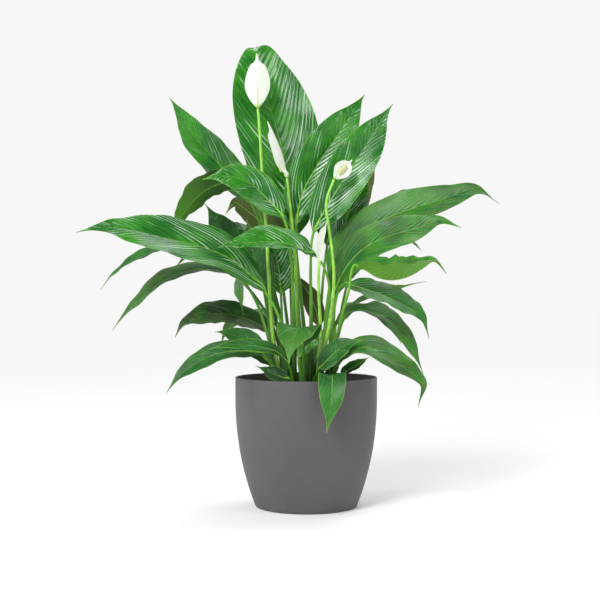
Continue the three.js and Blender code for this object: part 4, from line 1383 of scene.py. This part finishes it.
def build_crumbs(look, material):
    """Loose crumbs over the ring of compost that the stalks leave open."""
    pairs, _, _ = read_profile(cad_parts["root_ball"])
    wide = max(r for r, _ in pairs)
    crown_z = max(z for _, z in pairs)
    edge_z = max(z for r, z in pairs if abs(r - wide) < 1e-5)
    crown = max(r for r, z in pairs if z == crown_z)
    spots, faces = [], []
    facets = 72
    rings = [(wide - 0.004, edge_z), (crown, crown_z), (crown * 0.5, crown_z), (0.004, crown_z)]
    for radius, height in rings:
        for k in range(facets):
            a = 2 * math.pi * k / facets
            spots.append((radius * math.cos(a), radius * math.sin(a), height - 0.0032))
    for r in range(len(rings) - 1):
        for k in range(facets):
            n = (k + 1) % facets
            low, high = r * facets, (r + 1) * facets
            faces.append((low + k, low + n, high + n, high + k))
    mesh = bpy.data.meshes.new("compost_crumbs")
    mesh.from_pydata(spots, [], faces)
    piece = bpy.data.objects.new("compost_crumbs", mesh)
    bpy.context.scene.collection.objects.link(piece)
    values = {"Crumb size": look.crumb, "Density": look.density, "Seed": look.seed}
    return grow(piece, crumb_tree(material), values)


class PEACELILY_OT_compost(bpy.types.Operator):
    """Builds the root ball and the crumbs on top of it"""

    bl_idname = "peace_lily.compost"
    bl_label = "Compost"

    def execute(self, context):
        look = context.scene.lily_soil
        ball = build_root_ball(look, soil_finish(look, "compost_body"))
        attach(ball, "root")
        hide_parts("root_ball")
        crumbs = build_crumbs(look, soil_finish(look, "compost_crumb"))
        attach(crumbs, "root")
        return {"FINISHED"}


# ------------------------------------------------------------------ stage
def add_lamp(name, place, target, size, power, tint=(1, 1, 1)):
    lamp = bpy.data.lights.new(name, "AREA")
    lamp.shape = "RECTANGLE"
    lamp.size, lamp.size_y = size
    lamp.energy = power
    lamp.color = tint
    thing = bpy.data.objects.new(name, lamp)
    bpy.context.scene.collection.objects.link(thing)
    thing.location = place
    thing.rotation_euler = (Vector(target) - Vector(place)).to_track_quat("-Z", "Y").to_euler()


def add_sun(name, towards, strength, angle):
    """A far broad lamp that shines from the given direction."""
    lamp = bpy.data.lights.new(name, "SUN")
    lamp.energy = strength
    lamp.angle = angle
    thing = bpy.data.objects.new(name, lamp)
    bpy.context.scene.collection.objects.link(thing)
    thing.rotation_euler = (-Vector(towards)).to_track_quat("-Z", "Y").to_euler()


class PEACELILY_OT_stage(bpy.types.Operator):
    """Sets the pale floor, the soft lamps and the camera"""

    bl_idname = "peace_lily.stage"
    bl_label = "Stage"

    def execute(self, context):
        look = context.scene.lily_stage
        scene = context.scene
        rings = [(0.0, 0.0), (look.floor_radius, 0.0)]
        points, faces = [(0.0, 0.0, -0.0002)], []
        facets = 96
        for k in range(facets):
            a = 2 * math.pi * k / facets
            points.append((rings[1][0] * math.cos(a), rings[1][0] * math.sin(a), -0.0002))
            faces.append((0, 1 + k, 1 + (k + 1) % facets))
        mesh = bpy.data.meshes.new("floor")
        mesh.from_pydata(points, [], faces)
        mesh.materials.append(floor_finish(look))
        floor = bpy.data.objects.new("floor", mesh)
        scene.collection.objects.link(floor)
        floor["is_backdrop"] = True

        world = bpy.data.worlds.new("studio_air")
        world.use_nodes = True
        scene.world = world
        air = Wiring(world.node_tree)
        way = air.add("ShaderNodeTexCoord").outputs["Generated"]
        way = air.add("ShaderNodeSeparateXYZ", {0: way}).outputs
        walls = air.span(way[1], -0.2, 0.75, look.walls, look.backdrop)
        sky = world.node_tree.nodes["Background"]
        sky.inputs[0].default_value = (1.0, 1.0, 1.0, 1.0)
        air.feed(sky.inputs[1], air.span(way[2], 0.30, 0.70, walls, look.ceiling))

        low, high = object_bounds()
        heart = (0.0, 0.0, (low[2] + high[2]) * 0.55)
        add_sun("high_sun", (0.25, 0.45, 1.0), 1.15, 0.55)
        add_sun("front_sun", (-0.55, -1.0, 1.05), 1.15, 0.45)
        add_lamp("front_window", (-0.8, -1.6, 1.5), heart, (0.5, 0.6), 16)
        add_lamp("side_window", (1.5, -0.9, 1.1), heart, (0.3, 1.1), 6)
        add_lamp("left_strip", (-1.7, -0.3, 0.9), heart, (0.25, 1.1), 8)

        lens = bpy.data.cameras.new("camera")
        lens.lens = look.lens
        lens.sensor_width = 36.0
        camera = bpy.data.objects.new("camera", lens)
        scene.collection.objects.link(camera)
        camera.location = (-look.camera_side, -look.camera_distance, look.camera_height)
        camera.rotation_euler = (math.pi / 2, 0.0, 0.0)
        scene.camera = camera
        scene.view_settings.view_transform = "Standard"
        return {"FINISHED"}


# ------------------------------------------------------------------ add-on
OPERATORS = (
    PEACELILY_OT_leaves,
    PEACELILY_OT_flower_stems,
    PEACELILY_OT_spathes,
    PEACELILY_OT_spadices,
    PEACELILY_OT_cover_pot,
    PEACELILY_OT_grower_pot,
    PEACELILY_OT_compost,
    PEACELILY_OT_stage,
)
SETTINGS = {
    "lily_leaves": LeafSettings,
    "lily_flowers": FlowerSettings,
    "lily_pots": PotSettings,
    "lily_soil": SoilSettings,
    "lily_stage": StageSettings,
}


class PEACELILY_PT_sidebar(bpy.types.Panel):
    """Lists the pieces of the plant"""

    bl_label = "Peace lily"
    bl_idname = "PEACELILY_PT_sidebar"
    bl_space_type = "VIEW_3D"
    bl_region_type = "UI"
    bl_category = "Peace lily"

    def draw(self, context):
        for operator in OPERATORS:
            self.layout.operator(operator.bl_idname)
        for prop in SETTINGS:
            box = self.layout.box()
            settings = getattr(context.scene, prop)
            for key in settings.bl_rna.properties.keys():
                if key not in ("rna_type", "name"):
                    box.prop(settings, key)


def register():
    for settings in SETTINGS.values():
        bpy.utils.register_class(settings)
    for prop, settings in SETTINGS.items():
        setattr(bpy.types.Scene, prop, bpy.props.PointerProperty(type=settings))
    for operator in OPERATORS:
        bpy.utils.register_class(operator)
    bpy.utils.register_class(PEACELILY_PT_sidebar)


def unregister():
    bpy.utils.unregister_class(PEACELILY_PT_sidebar)
    for operator in reversed(OPERATORS):
        bpy.utils.unregister_class(operator)
    for prop in SETTINGS:
        delattr(bpy.types.Scene, prop)
    for settings in reversed(list(SETTINGS.values())):
        bpy.utils.unregister_class(settings)


def main():
    register()
    for operator in OPERATORS:
        group, call = operator.bl_idname.split(".")
        getattr(getattr(bpy.ops, group), call)()


if __name__ == "__main__":
    main()
